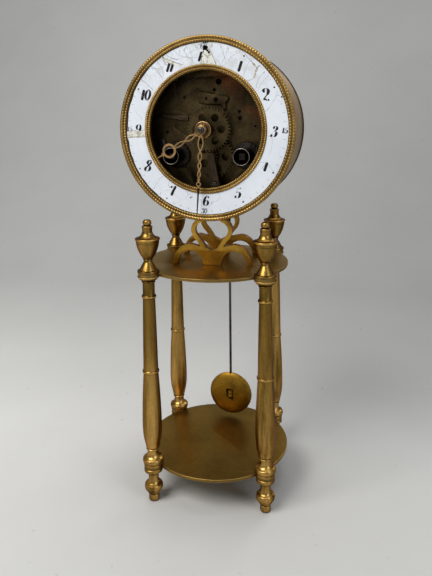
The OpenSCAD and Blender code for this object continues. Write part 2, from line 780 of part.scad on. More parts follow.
// Crutch: hub on the pallet arbor, strip down the back and two prongs around the pendulum rod
crutch_y = behind_y + 2;
crutch_drop = 70;
crutch_half = 1.3;
crutch_t = 1.5;
crutch_hub_l = 3;
prong_t = 1.2;
prong_h = 3;
rod_r = 0.95;
module crutch() {
  foot_z = swing_z - crutch_drop;
  fork_half = rod_r + seat_clear + prong_t;
  color(steel) union() {
    difference() {
      rod(crutch_y, crutch_y + crutch_hub_l, pallet_at, 3);
      rod(crutch_y - 1, crutch_y + crutch_hub_l + 1, pallet_at, pallet_arbor_r);
    }
    slab(crutch_y, crutch_y + crutch_t) translate([-crutch_half, foot_z])
      square([2 * crutch_half, crutch_drop - 2]);
    for (s = [-1, 1]) slab(crutch_y, pendulum_y + 1.8)
      translate([s * (fork_half - prong_t / 2), foot_z]) square([prong_t, prong_h], center = true);
    slab(crutch_y, crutch_y + crutch_t)
      translate([0, foot_z]) square([2 * fork_half, prong_h], center = true);
  }
}

// Back cock: a bridge over the crutch's hub, with an arm that carries the suspension
cock_front = behind_y + 6;
cock_t = 2;
cock_back_y = cock_front + cock_t;
cock_half = 16;
cock_arm_z = swing_z + 6.5;
cock_arm_w = 7;
module back_cock() {
  color(yellow) difference() {
    union() {
      slab(cock_front, cock_back_y) translate([-cock_half, swing_z - 3]) square([2 * cock_half, 10]);
      for (s = [-1, 1]) rod(behind_y, cock_front + eps, [s * cock_foot_x, cock_foot_z], 3);
      slab(cock_front, pendulum_y + 3) translate([-cock_arm_w / 2, cock_arm_z]) square([cock_arm_w, 3.5]);
      slab(cock_front, cock_back_y) translate([-cock_arm_w / 2, swing_z]) square([cock_arm_w, 10]);
    }
    rod(cock_front - 1, cock_back_y + 1, pallet_at, pivot_r + run_clear);
    for (s = [-1, 1])
      rod(behind_y - 1, cock_back_y + 1, [s * cock_foot_x, cock_foot_z], screw_r + run_clear);
  }
}

spring_half_w = 2;
strip_t = 0.2;
strip_end_z = swing_z - 3;
module suspension() {
  chop_z = swing_z + 3;
  color(yellow) union() {
    slab(pendulum_y - 2, pendulum_y + 2) translate([-2.5, chop_z]) square([5, cock_arm_z - chop_z]);
    slab(pendulum_y - spring_half_w, pendulum_y + spring_half_w)
      translate([-strip_t / 2, strip_end_z]) square([strip_t, chop_z + 1 - strip_end_z]);
  }
}

// Pendulum
bob_z = swing_z - pendulum_l;
window_w = 6;
window_h = 9;
nut_h = 5;
nut_r = 2.7;
rod_end_z = bob_z - 8;
module upright(p_y, bottom, top, r) {
  head() translate([0, p_y, bottom]) cylinder(h = top - bottom, r = r);
}

hook_h = 6;
hook_w = 3.2;
hook_depth = 3.6;
hook_slot = 0.8;
module pendulum_rod() {
  top = swing_z - 1;
  bottom = top - hook_h;
  color(steel) union() {
    upright(pendulum_y, rod_end_z, bottom + 1, rod_r);
    difference() {
      slab(pendulum_y - hook_depth / 2, pendulum_y + hook_depth / 2)
        translate([-hook_w / 2, bottom]) square([hook_w, hook_h]);
      slab(pendulum_y - hook_depth, pendulum_y + hook_depth)
        translate([-hook_slot / 2, strip_end_z - hook_slot / 2]) square([hook_slot, hook_h]);
    }
  }
}

module pendulum_bob() {
  half = bob_t / 2;
  rim = 0.7;
  lens = concat(
    [[0, -half]],
    bend([3, -half], [bob_r - 4, -half], [bob_r - 0.4, -rim], 8),
    [[bob_r, -rim + 0.3], [bob_r, rim - 0.3]],
    bend([bob_r - 0.4, rim], [bob_r - 4, half], [3, half], 8),
    [[0, half]]
  );
  color(gilt) difference() {
    head() translate([0, pendulum_y, bob_z]) rotate([-90, 0, 0]) rotate_extrude() polygon(lens);
    slab(pendulum_y - bob_t, pendulum_y + nut_r + seat_clear)
      translate([0, bob_z]) square([window_w, window_h], center = true);
    upright(pendulum_y, rod_end_z - 1, bob_z + bob_r + 1, rod_r + seat_clear);
  }
}

module rating_nut() {
  top = bob_z + window_h / 2;
  color(yellow) difference() {
    upright(pendulum_y, top - nut_h, top, nut_r);
    upright(pendulum_y, top - nut_h - 1, top + 1, rod_r);
  }
}

// Motion work in front of the front plate
pipe_r = 2.6;
hour_pipe_r = 3.8;
hour_hand_v = 18.2;
hand_t = 0.9;
module cannon_pinion() {
  color(steel) difference() {
    union() {
      pinion(ahead(cannon_v + 2.6), ahead(cannon_v), centre, cannon_teeth, cannon_m, 0);
      rod(ahead(cannon_end_v), ahead(cannon_v), centre, pipe_r);
    }
    rod(ahead(cannon_end_v + 1), ahead(cannon_v - 1), centre, centre_arbor_r + run_clear);
  }
}

minute_wheel_v = 3.1;
module minute_wheel() {
  turn = mesh_turn(heading(centre, minute_at), cannon_teeth, 0, minute_teeth);
  color(yellow) union() {
    crossed_minute(turn);
    pinion(ahead(minute_wheel_v + 4.8), ahead(minute_wheel_v + 1.2), minute_at, minute_leaves, hour_m, 0);
    rod(ahead(cock_v - 0.3), ahead(0.3), minute_at, 1.6);
    rod(ahead(cock_v + cock_t - 0.3), inside_y - 0.3, minute_at, pivot_r);
  }
}

module crossed_minute(turn) {
  outer = cannon_m * minute_teeth / 2;
  difference() {
    slab(ahead(minute_wheel_v + 1.4), ahead(minute_wheel_v)) translate(minute_at)
      toothed(minute_teeth, cannon_m, wheel_tooth, turn);
    for (a = [0:72:288])
      rod(ahead(minute_wheel_v + 3), ahead(minute_wheel_v - 1), from(minute_at, a, outer * 0.6), outer * 0.2);
  }
}

hour_wheel_v = 5.8;
module hour_wheel() {
  turn = mesh_turn(heading(minute_at, centre), minute_leaves, 0, hour_teeth);
  outer = hour_m * hour_teeth / 2;
  color(yellow) difference() {
    union() {
      slab(ahead(hour_wheel_v + 1.2), ahead(hour_wheel_v)) toothed(hour_teeth, hour_m, wheel_tooth, turn);
      rod(ahead(hour_hand_v + hand_t), ahead(hour_wheel_v), centre, hour_pipe_r);
    }
    rod(ahead(hour_hand_v + 3), ahead(hour_wheel_v - 1), centre, pipe_r + run_clear);
    for (a = [0:60:300])
      rod(ahead(hour_wheel_v + 3), ahead(hour_wheel_v - 1), from(centre, a, outer * 0.6), outer * 0.18);
  }
}

cock_v = 8.8;
cock_front_y = ahead(cock_v + cock_t);
cock_reach = 19.5;
cock_foot_at = from(minute_at, motion_angle, cock_reach);
module motion_cock() {
  side = [-sin(motion_angle), cos(motion_angle)];
  color(yellow) difference() {
    union() {
      rod(ahead(cock_v + cock_t), front_plate_y, cock_foot_at, 3.4);
      rod(ahead(cock_v + cock_t), ahead(cock_v), minute_at, 2.6);
      slab(ahead(cock_v + cock_t), ahead(cock_v)) polygon([
        minute_at + 2.2 * side, minute_at - 2.2 * side, cock_foot_at - 3 * side, cock_foot_at + 3 * side]);
    }
    rod(ahead(cock_v + cock_t + 1), ahead(cock_v - 1), minute_at, pivot_r + run_clear);
    rod(ahead(cock_v + cock_t + 1), front_plate_y + 1, cock_foot_at, screw_r + run_clear);
  }
}

// Hands: a boss, a chain of long pointed links that grow smaller, and a pointed tip
wire_t = 0.85;
// The outline of a link, bowed out to both sides from its narrow ends
function bow(length, half, end_half, steps = 12) =
  [for (side = [-1, 1], i = [0:steps])
    let (t = side < 0 ? i / steps : 1 - i / steps)
    [length * t, side * (end_half + (half - end_half) * sin(180 * t))]];
module link(length, half) {
  inset = 1.3 * wire_t;
  difference() {
    polygon(bow(length, half, wire_t / 2));
    translate([inset, 0]) polygon(bow(length - 2 * inset, half - wire_t, wire_t / 8));
  }
}
// Links in a row, each given by its length and half-width
function before(links, i) = i == 0 ? 0 : before(links, i - 1) + links[i - 1][0] - wire_t / 4;
module chain(start, links) {
  for (i = [0:len(links) - 1]) translate([start + before(links, i), 0]) link(links[i][0], links[i][1]);
}

tip_half = 0.6;
point_half = 0.22;
module tip(start, end) {
  polygon([[start, -tip_half], [end, -point_half], [end, point_half], [start, tip_half]]);
}

ring_at = 28.2;
ring_r = 4.9;
ring_hole_r = 3.4;
hour_boss_r = 5.7;
hour_links = [[8.9, 1.9], [9.8, 1.6]];
collar_w = 0.9;
collar_half = 1.4;
barb_l = 1.5;
module hour_hand() {
  chain_start = hour_boss_r + collar_w - wire_t / 2;
  tip_start = ring_at + ring_r - 0.5;
  color(gilt) slab(ahead(hour_hand_v + hand_t), ahead(hour_hand_v)) rotate(90 - hour_angle) difference() {
    union() {
      circle(hour_boss_r);
      translate([hour_boss_r - 0.3, -collar_half]) square([collar_w + 0.3, 2 * collar_half]);
      chain(chain_start, hour_links);
      translate([ring_at, 0]) circle(ring_r);
      tip(tip_start, hour_hand_l);
      polygon([[tip_start, -tip_half], [tip_start + barb_l, -barb_l], [tip_start + barb_l, barb_l],
        [tip_start, tip_half]]);
    }
    circle(hour_pipe_r);
    translate([ring_at, 0]) circle(ring_hole_r);
  }
}

minute_hand_v = cannon_end_v - hand_t;
minute_boss_r = 3.5;
minute_links = [[11.2, 2.15], [6.9, 1.7], [5.9, 1.45], [5.9, 1.35]];
knob_at = 33.1;
knob_r = 1.05;
end_ring_at = 36;
end_ring_r = 1.75;
module minute_hand() {
  tip_start = end_ring_at + end_ring_r - 0.4;
  color(gilt) slab(ahead(cannon_end_v), ahead(minute_hand_v)) rotate(90 - minute_angle) difference() {
    union() {
      circle(minute_boss_r);
      chain(minute_boss_r - wire_t / 2, minute_links);
      translate([knob_at, 0]) circle(knob_r);
      translate([knob_at, -wire_t / 2]) square([end_ring_at - knob_at, wire_t]);
      translate([end_ring_at, 0]) circle(end_ring_r);
      tip(tip_start, minute_hand_l);
    }
    circle(pipe_r);
    translate([end_ring_at, 0]) circle(end_ring_r - wire_t);
  }
}

module hand_nut() {
  base = ahead(cannon_end_v);
  color(steel) drum_ring([
    [0, base - 2.6], [1.4, base - 2.5], [2.1, base - 2], [2.3, base - 1],
    [3.1, base - 0.7], [minute_boss_r - seat_clear, base], [0, base]
  ]);
}

// Strike train
module strike_second_wheel() {
  turn = mesh_turn(heading(strike_at, second_at), barrel_teeth, 0, small_pinion);
  color(yellow) union() {
    train_arbor(second_at, small_pinion, barrel_m, turn, barrel_w - seat_clear,
      second_teeth, second_m, low_wheel_w);
    rod(depth(plate_gap - 1), count_y + count_t + 1, second_at, second_pivot_r);
  }
}

count_y = behind_y + 1;
count_t = 1.2;
count_r = 13.6;
strike_hours = 12;
notch_w = 1.2;
notch_h = 1.6;
// Blows struck before an hour, with one more for each half hour
function blows_before(hour) = (hour - 1) * (hour + 2) / 2;
module count_wheel() {
  total = blows_before(strike_hours + 1);
  color(yellow) difference() {
    rod(count_y, count_y + count_t, second_at, count_r);
    rod(count_y - 1, count_y + count_t + 1, second_at, second_pivot_r);
    slab(count_y - 1, count_y + count_t + 1) translate(second_at) for (hour = [1:strike_hours])
      rotate(360 * blows_before(hour) / total)
        translate([count_r - notch_h, -notch_w / 2]) square([notch_h + 1, notch_w]);
    for (a = [0:72:288]) rod(count_y - 1, count_y + count_t + 1, from(second_at, a, 6.6), 2.5);
  }
}

lift_pins = 8;
pin_r = 0.5;
pin_l = 2.2;
// A pin that stands on the back of a wheel
module wheel_pin(p, wheel_w) {
  rod(depth(wheel_w + wheel_t - eps), depth(wheel_w + wheel_t + pin_l), p, pin_r);
}
module pin_wheel() {
  turn = mesh_turn(heading(second_at, pin_at), second_teeth, 0, pin_leaves);
  color(yellow) union() {
    train_arbor(pin_at, pin_leaves, second_m, turn, low_wheel_w - mesh_lead,
      pin_teeth, pin_m, pin_wheel_w);
    for (i = [0:lift_pins - 1])
      wheel_pin(from(pin_at, i * 360 / lift_pins, pin_m * pin_teeth / 2 - 1.4), pin_wheel_w);
  }
}

module locking_wheel() {
  turn = mesh_turn(heading(pin_at, locking_at), pin_teeth, 0, locking_leaves);
  color(yellow) union() {
    train_arbor(locking_at, locking_leaves, pin_m, turn, pin_wheel_w - mesh_lead,
      locking_teeth, locking_m, locking_wheel_w);
    wheel_pin(from(locking_at, 200, locking_m * locking_teeth / 2 - 1.5), locking_wheel_w);
  }
}

module warning_wheel() {
  turn = mesh_turn(heading(locking_at, warning_at), locking_teeth, 0, warning_leaves);
  color(yellow) union() {
    train_arbor(warning_at, warning_leaves, locking_m, turn, locking_wheel_w - mesh_lead,
      warning_teeth, warning_m, warning_wheel_w);
    wheel_pin(from(warning_at, 250, warning_m * warning_teeth / 2 - 1.3), warning_wheel_w);
  }
}

fly_w = 15.6;
fly_h = 5.8;
fly_span = 9.6;
fly_t = 0.9;
module fly() {
  turn = mesh_turn(heading(warning_at, fly_at), warning_teeth, 0, fly_leaves);
  color(yellow) union() {
    train_arbor(fly_at, fly_leaves, warning_m, turn, warning_wheel_w - mesh_lead, 0, 0, 0);
    slab(depth(fly_w), depth(fly_w + fly_h)) translate(fly_at) square([fly_span, fly_t], center = true);
  }
}

// Hammer on its stud, resting just clear of the bell's rim
hammer_head_at = [-25.5, -25.5];
module hammer() {
  front = behind_y + 0.3;
  shank = (hammer_head_at - hammer_at) / norm(hammer_head_at - hammer_at);
  side = [-shank[1], shank[0]];
  color(steel) difference() {
    union() {
      rod(front, front + 5.4, hammer_at, 3);
      slab(front + 2.4, front + 4.4) polygon([
        hammer_at + 1.4 * side, hammer_at - 1.4 * side, hammer_head_at - side, hammer_head_at + side]);
      rod(front + 2.4, bell_rim_y + 1, hammer_head_at, 1.2);
      rod(bell_rim_y - 1, bell_rim_y + 5, hammer_head_at, 3.4);
    }
    rod(front - 1, front + 6, hammer_at, hammer_stud_r + run_clear);
  }
}

// Bell and the stand that carries it behind the pendulum
bell_r = 30;
bell_t = 1.2;
bell_rim_y = pendulum_y + 2.6;
bell_h = 11;
module bell() {
  top = bell_rim_y + bell_h;
  outside = bend([bell_r, bell_rim_y], [bell_r - 1, top], [bell_r - 16, top], 10);
  inside = bend([bell_r - 16, top - bell_t], [bell_r - 1 - bell_t, top - bell_t],
    [bell_r - bell_t, bell_rim_y], 10);
  color(yellow) drum_ring(concat([[stud_r + run_clear, top]], [for (i = [10:-1:0]) outside[i]],
    [for (i = [10:-1:0]) inside[i]], [[stud_r + run_clear, top - bell_t]]));
}

module bell_stand() {
  seat = bell_rim_y + bell_h - bell_t;
  bar = seat - 5;
  bar_t = 2;
  color(steel) union() {
    rod(behind_y, bar + bar_t, bell_post_at, 2.4);
    slab(bar, bar + bar_t)
      polygon(strap([bell_post_at, bell_post_at / 2 + [0, -0.6], centre], [2.2, 1.8, 2]));
    rod(bar, seat, centre, 3);
    rod(seat - 1, seat + bell_t + 1.6, centre, stud_r);
  }
}

lower_plate();
upper_plate();
column(-1, -1);  // column_front_left
column(1, -1);  // column_front_right
column(-1, 1);  // column_back_left
column(1, 1);  // column_back_right
finial(-1, -1);  // finial_front_left
finial(1, -1);  // finial_front_right
finial(-1, 1);  // finial_back_left
finial(1, 1);  // finial_back_right
foot(-1, -1);  // foot_front_left
foot(1, -1);  // foot_front_right
foot(-1, 1);  // foot_back_left
foot(1, 1);  // foot_back_right
front_bracket();
back_bracket();
drum_case();
front_bezel();
dial_plate();
dial_ring();
inner_bezel();
rear_bezel();
front_plate();
back_plate();
plate_pillars();
screws();
going_barrel();
going_mainspring();
going_arbor();
strike_barrel();
strike_mainspring();
strike_arbor();
ratchet_clicks();
intermediate_wheel();
centre_wheel();
third_wheel();
escape_wheel();
anchor();
crutch();
back_cock();
suspension();
pendulum_rod();
pendulum_bob();
rating_nut();
cannon_pinion();
minute_wheel();
hour_wheel();
motion_cock();
hour_hand();
minute_hand();
hand_nut();
strike_second_wheel();
count_wheel();
pin_wheel();
locking_wheel();
warning_wheel();
fly();
hammer();
bell();
bell_stand();
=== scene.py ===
"""Portico clock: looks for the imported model, in metres, in the model's own frame."""
import json
import math
import random

import bmesh
import bpy
from mathutils import Matrix, Vector


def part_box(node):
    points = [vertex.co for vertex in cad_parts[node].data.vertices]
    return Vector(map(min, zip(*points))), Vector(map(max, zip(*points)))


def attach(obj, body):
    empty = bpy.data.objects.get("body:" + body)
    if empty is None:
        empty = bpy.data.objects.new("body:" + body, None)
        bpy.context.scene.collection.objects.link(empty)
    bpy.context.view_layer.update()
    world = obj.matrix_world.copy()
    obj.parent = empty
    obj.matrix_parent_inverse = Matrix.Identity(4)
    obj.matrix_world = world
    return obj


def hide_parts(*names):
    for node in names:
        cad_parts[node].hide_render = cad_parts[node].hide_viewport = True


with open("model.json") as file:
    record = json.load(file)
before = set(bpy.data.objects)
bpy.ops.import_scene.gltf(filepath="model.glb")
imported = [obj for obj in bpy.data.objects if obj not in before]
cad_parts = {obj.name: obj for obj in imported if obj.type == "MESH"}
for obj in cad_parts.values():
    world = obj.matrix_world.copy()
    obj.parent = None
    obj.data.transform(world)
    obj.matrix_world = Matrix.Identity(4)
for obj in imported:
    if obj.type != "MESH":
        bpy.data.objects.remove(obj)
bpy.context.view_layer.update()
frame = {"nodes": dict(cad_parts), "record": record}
NODES = frame["nodes"]
MM = 0.001
ROOT = "case_body"
BODY_OF = {n: b for b, ns in frame["record"]["behaviour"]["bodies"].items() for n in ns}

# Sizes shared with the solids, in millimetres. First the portico: its plates, the columns outside their edge
PLATE_D, PLATE_T, COLUMN_OUT = 103.4, 2.0, 3.74
CORNER = (PLATE_D / 2 + COLUMN_OUT) / math.sqrt(2)
LOWER_Z, UPPER_Z = 26.8, 164.3
# The drum, with y from the middle of the portico: bezel, dial, movement, hands and winding arbors
AXIS_Z, TURN = 258.5, math.radians(8)
BEZEL_R, BEZEL_FRONT, BEZEL_DEPTH = 61.8, -24.0, 5.0
DRUM_R, LIP_R = 57.5, 57.4
ENAMEL_Y, DIAL_R = -22.8, 58.2
DRUM_FRONT = -20.5
OPENING_R, RING_R = 39.2, 43.0
MOVEMENT_Y = -6.0
HOUR_FRONT, NUT_BACK = -25.1, -28.4
ARBOR_X, ARBOR_Z = 25.0, -18.0
TUBE_R, TUBE_Y, RATCHET_Y = 5.7, -21.0, -8.0
MINUTE_ANGLE, STEEL_TIP = math.radians(184), 38.8

# The drum's own frame: x right, y back along its axis, z up
HEAD = Matrix.Translation((0, 0, AXIS_Z * MM)) @ Matrix.Rotation(-TURN, 4, "Z")
# Turned pieces on the drum's axis: their local z runs backward along it
HEAD_AXIS = HEAD @ Matrix.Rotation(math.radians(-90), 4, "X")


# Shader tools

def new_material(name):
    """A material with its tree, its shader and the place of the shaded point."""
    mat = bpy.data.materials.new(name)
    mat.use_nodes = True
    tree = mat.node_tree
    return mat, tree, tree.nodes["Principled BSDF"], tree.nodes.new("ShaderNodeTexCoord").outputs["Object"]


def node(tree, kind, **values):
    n = tree.nodes.new(kind)
    for key, value in values.items():
        if key in n.inputs:
            n.inputs[key].default_value = value
        else:
            setattr(n, key, value)
    return n


def fix(shader, values):
    """Sets sockets of a shader to constants."""
    for socket, value in values.items():
        shader.inputs[socket].default_value = value


def grey(v):
    return (v, v, v)


def ramp(tree, fac, *stops):
    """Colours along a value, each as its place and its colour."""
    n = tree.nodes.new("ShaderNodeValToRGB")
    e = n.color_ramp.elements
    while len(e) < len(stops):
        e.new(0.5)
    for item, (pos, colour) in zip(e, stops):
        item.position = pos
        item.color = (*colour, 1)
    tree.links.new(fac, n.inputs["Fac"])
    return n.outputs["Color"]


def fade(tree, fac, *stops):
    """Strengths along a value, each as its place and how strong it is there."""
    return ramp(tree, fac, *((at, grey(v)) for at, v in stops))


def mix(tree, a, b, fac, blend="MIX"):
    n = node(tree, "ShaderNodeMix", data_type="RGBA", blend_type=blend)
    for socket, value in ((n.inputs[6], a), (n.inputs[7], b), (n.inputs[0], fac)):
        if isinstance(value, bpy.types.NodeSocket):
            tree.links.new(value, socket)
        elif isinstance(value, (int, float)):
            socket.default_value = value
        else:
            socket.default_value = (*value, 1)
    return n.outputs[2]


def times(tree, a, b):
    return mix(tree, a, b, 1.0, "MULTIPLY")


def partly(tree, mask, share):
    """A mask at less than its full strength."""
    return mix(tree, grey(0), mask, share)


def noise(tree, vector, scale, detail, rough=0.55):
    n = node(tree, "ShaderNodeTexNoise", Scale=scale, Detail=detail, Roughness=rough)
    tree.links.new(vector, n.inputs["Vector"])
    return n.outputs["Fac"]


def mapped(tree, vector, **values):
    """A place that is moved or stretched."""
    n = node(tree, "ShaderNodeMapping", **values)
    tree.links.new(vector, n.inputs["Vector"])
    return n.outputs["Vector"]


def along(tree, vector, direction):
    """How far a point lies along a direction."""
    n = node(tree, "ShaderNodeVectorMath", operation="DOT_PRODUCT")
    tree.links.new(vector, n.inputs[0])
    n.inputs[1].default_value = direction
    return n.outputs["Value"]


# Materials

# How much finer than the patina are the specks and the wear
SPECKS, WEAR = 12, 2.3
# Rougher where dust lies, and how deep tool marks and dents go, in metres
DUST, TOOL_MARK, DENT = 0.25, 0.0004, 0.0003


def metal(name, light, dark, rough, patina=(0.42, 0.62), blotch=60, run=(1, 1, 1), lines=(1, 1, 30),
          line_scale=120, line_depth=0.05, crevice=0.0025, crevice_shade=0.3, speck=0.2, grain=0.10,
          shade_highlight=None, tint_and_shade=None, lacquer=None):
    """Worn metal: patina in patches, crevices darkened by a painted shade with some soiling, fine tool marks and a
    few dark specks.

    run stretches the patches. shade_highlight is the colour where the mesh marks it: a painted shade in the bottoms
    of milling, and a painted highlight with wear on rings that stand proud. tint_and_shade lists a colour, a
    direction and how strong it is along that: a painted shade on the gilt, a reddish patch on the movement plate.
    lacquer is the tint of a thin old varnish, deeper where the surface turns away.
    """
    mat, tree, bsdf, place = new_material(name)
    patches = noise(tree, mapped(tree, place, Scale=run), blotch, 6, 0.6)
    fine = noise(tree, place, blotch * SPECKS, 4, 0.6)
    if tint_and_shade:
        colour, direction, stops = tint_and_shade
        light = mix(tree, light, colour, fade(tree, along(tree, place, direction), *stops))
    base = mix(tree, light, dark, fade(tree, patches, (patina[0], 0), (patina[1], 1)))
    base = times(tree, base, fade(tree, fine, (0.3, 1 - speck), (0.6, 1)))
    if shade_highlight:
        milled = node(tree, "ShaderNodeAttribute", attribute_name="shade_highlight").outputs["Fac"]
        base = mix(tree, base, shade_highlight, milled)
    # Painted shade with some soiling: the colour darkens where the surface is shut in, and dust makes the same
    # places rougher
    shade_and_dust = node(tree, "ShaderNodeAmbientOcclusion", samples=6, Distance=crevice).outputs["AO"]
    base = times(tree, base, fade(tree, shade_and_dust, (0.35, crevice_shade), (0.85, 1)))
    tree.links.new(base, bsdf.inputs["Base Color"])
    worn = mix(tree, grey(rough[0]), grey(rough[1]), noise(tree, place, blotch * WEAR, 5, 0.65))
    worn = mix(tree, worn, grey(min(1, rough[1] + DUST)), fade(tree, shade_and_dust, (0.4, 1), (0.8, 0)))
    tree.links.new(worn, bsdf.inputs["Roughness"])
    marks = node(tree, "ShaderNodeBump", Strength=line_depth, Distance=TOOL_MARK)
    tree.links.new(noise(tree, mapped(tree, place, Scale=lines), line_scale, 3, 0.6), marks.inputs["Height"])
    dents = node(tree, "ShaderNodeBump", Strength=grain, Distance=DENT)
    tree.links.new(fine, dents.inputs["Height"])
    tree.links.new(marks.outputs["Normal"], dents.inputs["Normal"])
    tree.links.new(dents.outputs["Normal"], bsdf.inputs["Normal"])
    fix(bsdf, {"Metallic": 1.0})
    if lacquer:
        fix(bsdf, {"Coat Weight": 1.0, "Coat IOR": 1.1, "Coat Roughness": 0.3, "Coat Tint": (*lacquer, 1),
                   "Specular Tint": (*(c ** 3 for c in lacquer), 1)})
    return mat


# Gilt: its light tone darkens upward and toward the front, a painted shade; proud rings keep a bright colour, a
# painted highlight with wear
GILT = metal("gilt_brass", (1.0, 0.84, 0.50), (0.24, 0.195, 0.065), rough=(0.22, 0.38), patina=(0.42, 0.64),
             blotch=40, run=(3.5, 3.5, 0.3), line_depth=0.14, crevice=0.004, speck=0.16, grain=0.05,
             shade_highlight=(1.0, 0.86, 0.52), lacquer=(0.66, 0.49, 0.25),
             tint_and_shade=((0.44, 0.345, 0.148), (0, -0.5, 1), [(0.07, 0), (0.155, 1), (0.182, 1), (0.19, 0.78)]))
# The bottoms of the milled cuts take a dark colour, a painted shade
BEZEL = metal("milled_gilt", (0.43, 0.272, 0.087), (0.27, 0.162, 0.047), rough=(0.26, 0.42), crevice=0.0012,
              lines=(1, 1, 1), line_depth=0.03, shade_highlight=(0.085, 0.048, 0.015))
BRACKET = metal("bracket_gilt", (0.84, 0.62, 0.16), (0.50, 0.35, 0.085), rough=(0.27, 0.42), lines=(1, 1, 8),
                line_depth=0.06, lacquer=(0.76, 0.60, 0.35))
PLATE_WEAR = dict(rough=(0.31, 0.45), patina=(0.36, 0.68), blotch=28, lines=(1, 14, 1), line_scale=90,
                  crevice_shade=0.45, speck=0.16, lacquer=(0.93, 0.87, 0.72))
LOWER = metal("lower_plate_brass", (0.31, 0.205, 0.060), (0.195, 0.125, 0.032), **PLATE_WEAR)
UPPER = metal("upper_plate_brass", (0.32, 0.222, 0.086), (0.21, 0.142, 0.052), **PLATE_WEAR)
# Bevels: on the plates lighter than the faces, a painted highlight with wear
EDGE = metal("bevel_wear_and_highlight", (0.52, 0.34, 0.11), (0.36, 0.22, 0.06), rough=(0.3, 0.45), blotch=90,
             lines=(1, 1, 1), line_depth=0.03)
BOB = metal("bob_brass", (0.62, 0.50, 0.18), (0.34, 0.265, 0.09), rough=(0.38, 0.54), blotch=70,
            lines=(1, 1, 1), speck=0.3, crevice_shade=0.8, lacquer=(0.60, 0.42, 0.14))
NUT = metal("nut_brass", (0.46, 0.36, 0.12), (0.30, 0.23, 0.075), rough=(0.38, 0.54), blotch=70,
            lines=(1, 1, 1), crevice_shade=0.9, lacquer=(0.72, 0.54, 0.22))
DRUM = metal("drum_brass", (0.46, 0.285, 0.112), (0.30, 0.175, 0.060), rough=(0.34, 0.48), blotch=35,
             lines=(18, 1, 18), line_scale=40, crevice_shade=0.5)
# The movement plate is nearly black: old tarnish, and a painted shade for its place deep in the drum
DARK = metal("movement_plate", (0.110, 0.078, 0.036), (0.042, 0.030, 0.015), rough=(0.36, 0.55),
             patina=(0.36, 0.62), blotch=45, lines=(20, 1, 1), line_scale=60, speck=0.35,
             tint_and_shade=((0.150, 0.056, 0.024), (0.7, 0, 0.7), [(0.203, 0), (0.209, 1)]))
WHEEL = metal("wheel_brass", (0.34, 0.235, 0.085), (0.16, 0.11, 0.042), rough=(0.28, 0.42), blotch=70,
              lines=(1, 1, 1), line_depth=0.03)
MOTION = metal("motion_brass", (0.105, 0.076, 0.034), (0.045, 0.033, 0.016), rough=(0.32, 0.48), blotch=70,
               lines=(1, 1, 1), line_depth=0.03)
COCK = metal("cock_brass", (0.105, 0.074, 0.048), (0.050, 0.035, 0.022), rough=(0.30, 0.46), blotch=80,
             lines=(1, 1, 18))
BELL = metal("bell_metal", (0.55, 0.42, 0.20), (0.36, 0.26, 0.11), rough=(0.2, 0.34), blotch=30,
             lines=(1, 1, 1), line_depth=0.02)
STEEL = metal("dark_steel", (0.10, 0.095, 0.09), (0.045, 0.040, 0.036), rough=(0.26, 0.42), blotch=90,
              lines=(1, 1, 24))
BLACK = metal("blued_steel", (0.035, 0.030, 0.026), (0.014, 0.012, 0.010), rough=(0.30, 0.5), blotch=90,
              lines=(1, 1, 24))
BRIGHT = metal("bright_steel", (0.32, 0.29, 0.24), (0.17, 0.15, 0.12), rough=(0.28, 0.44), blotch=90,
               lines=(1, 1, 1), line_depth=0.03)
HAND = metal("hand_gilt", (0.60, 0.37, 0.165), (0.36, 0.205, 0.085), rough=(0.26, 0.40), blotch=150,
             crevice=0.0015, lines=(1, 1, 1), line_depth=0.02)
BRONZE = metal("bronzed_boss", (0.30, 0.19, 0.085), (0.15, 0.090, 0.040), rough=(0.34, 0.50), blotch=150,
               crevice=0.0015, lines=(1, 1, 1), line_depth=0.02)

# Where the enamel begins to be mottled and where it is so all over, in millimetres above the dial's middle
MOTTLED = (24, 40)


def enamel_material():
    """Old white enamel: faint clouds, pinhead soiling and a web of hair cracks in places."""
    mat, tree, bsdf, place = new_material("white_enamel")
    base = ramp(tree, noise(tree, place, 45, 5, 0.6), (0.35, (0.76, 0.81, 0.89)), (0.7, (0.85, 0.895, 0.97)))
    grime_and_shade = fade(tree, noise(tree, place, 260, 6, 0.7), (0.62, 0), (0.78, 1))
    base = mix(tree, base, (0.52, 0.50, 0.44), partly(tree, grime_and_shade, 0.35))
    start, end = ((AXIS_Z + z) * MM for z in MOTTLED)
    top = fade(tree, along(tree, place, (0, 0, 1)), (start, 0), (end, 1))
    mottle = fade(tree, noise(tree, place, 110, 7, 0.7), (0.46, 0), (0.62, 1))
    base = mix(tree, base, (0.60, 0.61, 0.58), partly(tree, times(tree, mottle, top), 0.75))
    warp = node(tree, "ShaderNodeTexNoise", Scale=70, Detail=3)
    tree.links.new(place, warp.inputs["Vector"])
    cells = node(tree, "ShaderNodeTexVoronoi", feature="DISTANCE_TO_EDGE", Scale=62)
    tree.links.new(mix(tree, place, warp.outputs["Color"], 0.012), cells.inputs["Vector"])
    hair = fade(tree, cells.outputs["Distance"], (0.0, 1), (0.016, 0))
    crazed = mix(tree, fade(tree, noise(tree, place, 30, 2), (0.52, 0), (0.6, 1)), top, 1.0, "LIGHTEN")
    base = mix(tree, base, (0.32, 0.31, 0.28), partly(tree, times(tree, hair, crazed), 0.6))
    tree.links.new(base, bsdf.inputs["Base Color"])
    waves = node(tree, "ShaderNodeBump", Strength=0.15, Distance=0.0006)
    tree.links.new(noise(tree, place, 90, 3), waves.inputs["Height"])
    tree.links.new(waves.outputs["Normal"], bsdf.inputs["Normal"])
    fix(bsdf, {"Roughness": 0.16, "Coat Weight": 0.5, "Coat Roughness": 0.06})
    return mat


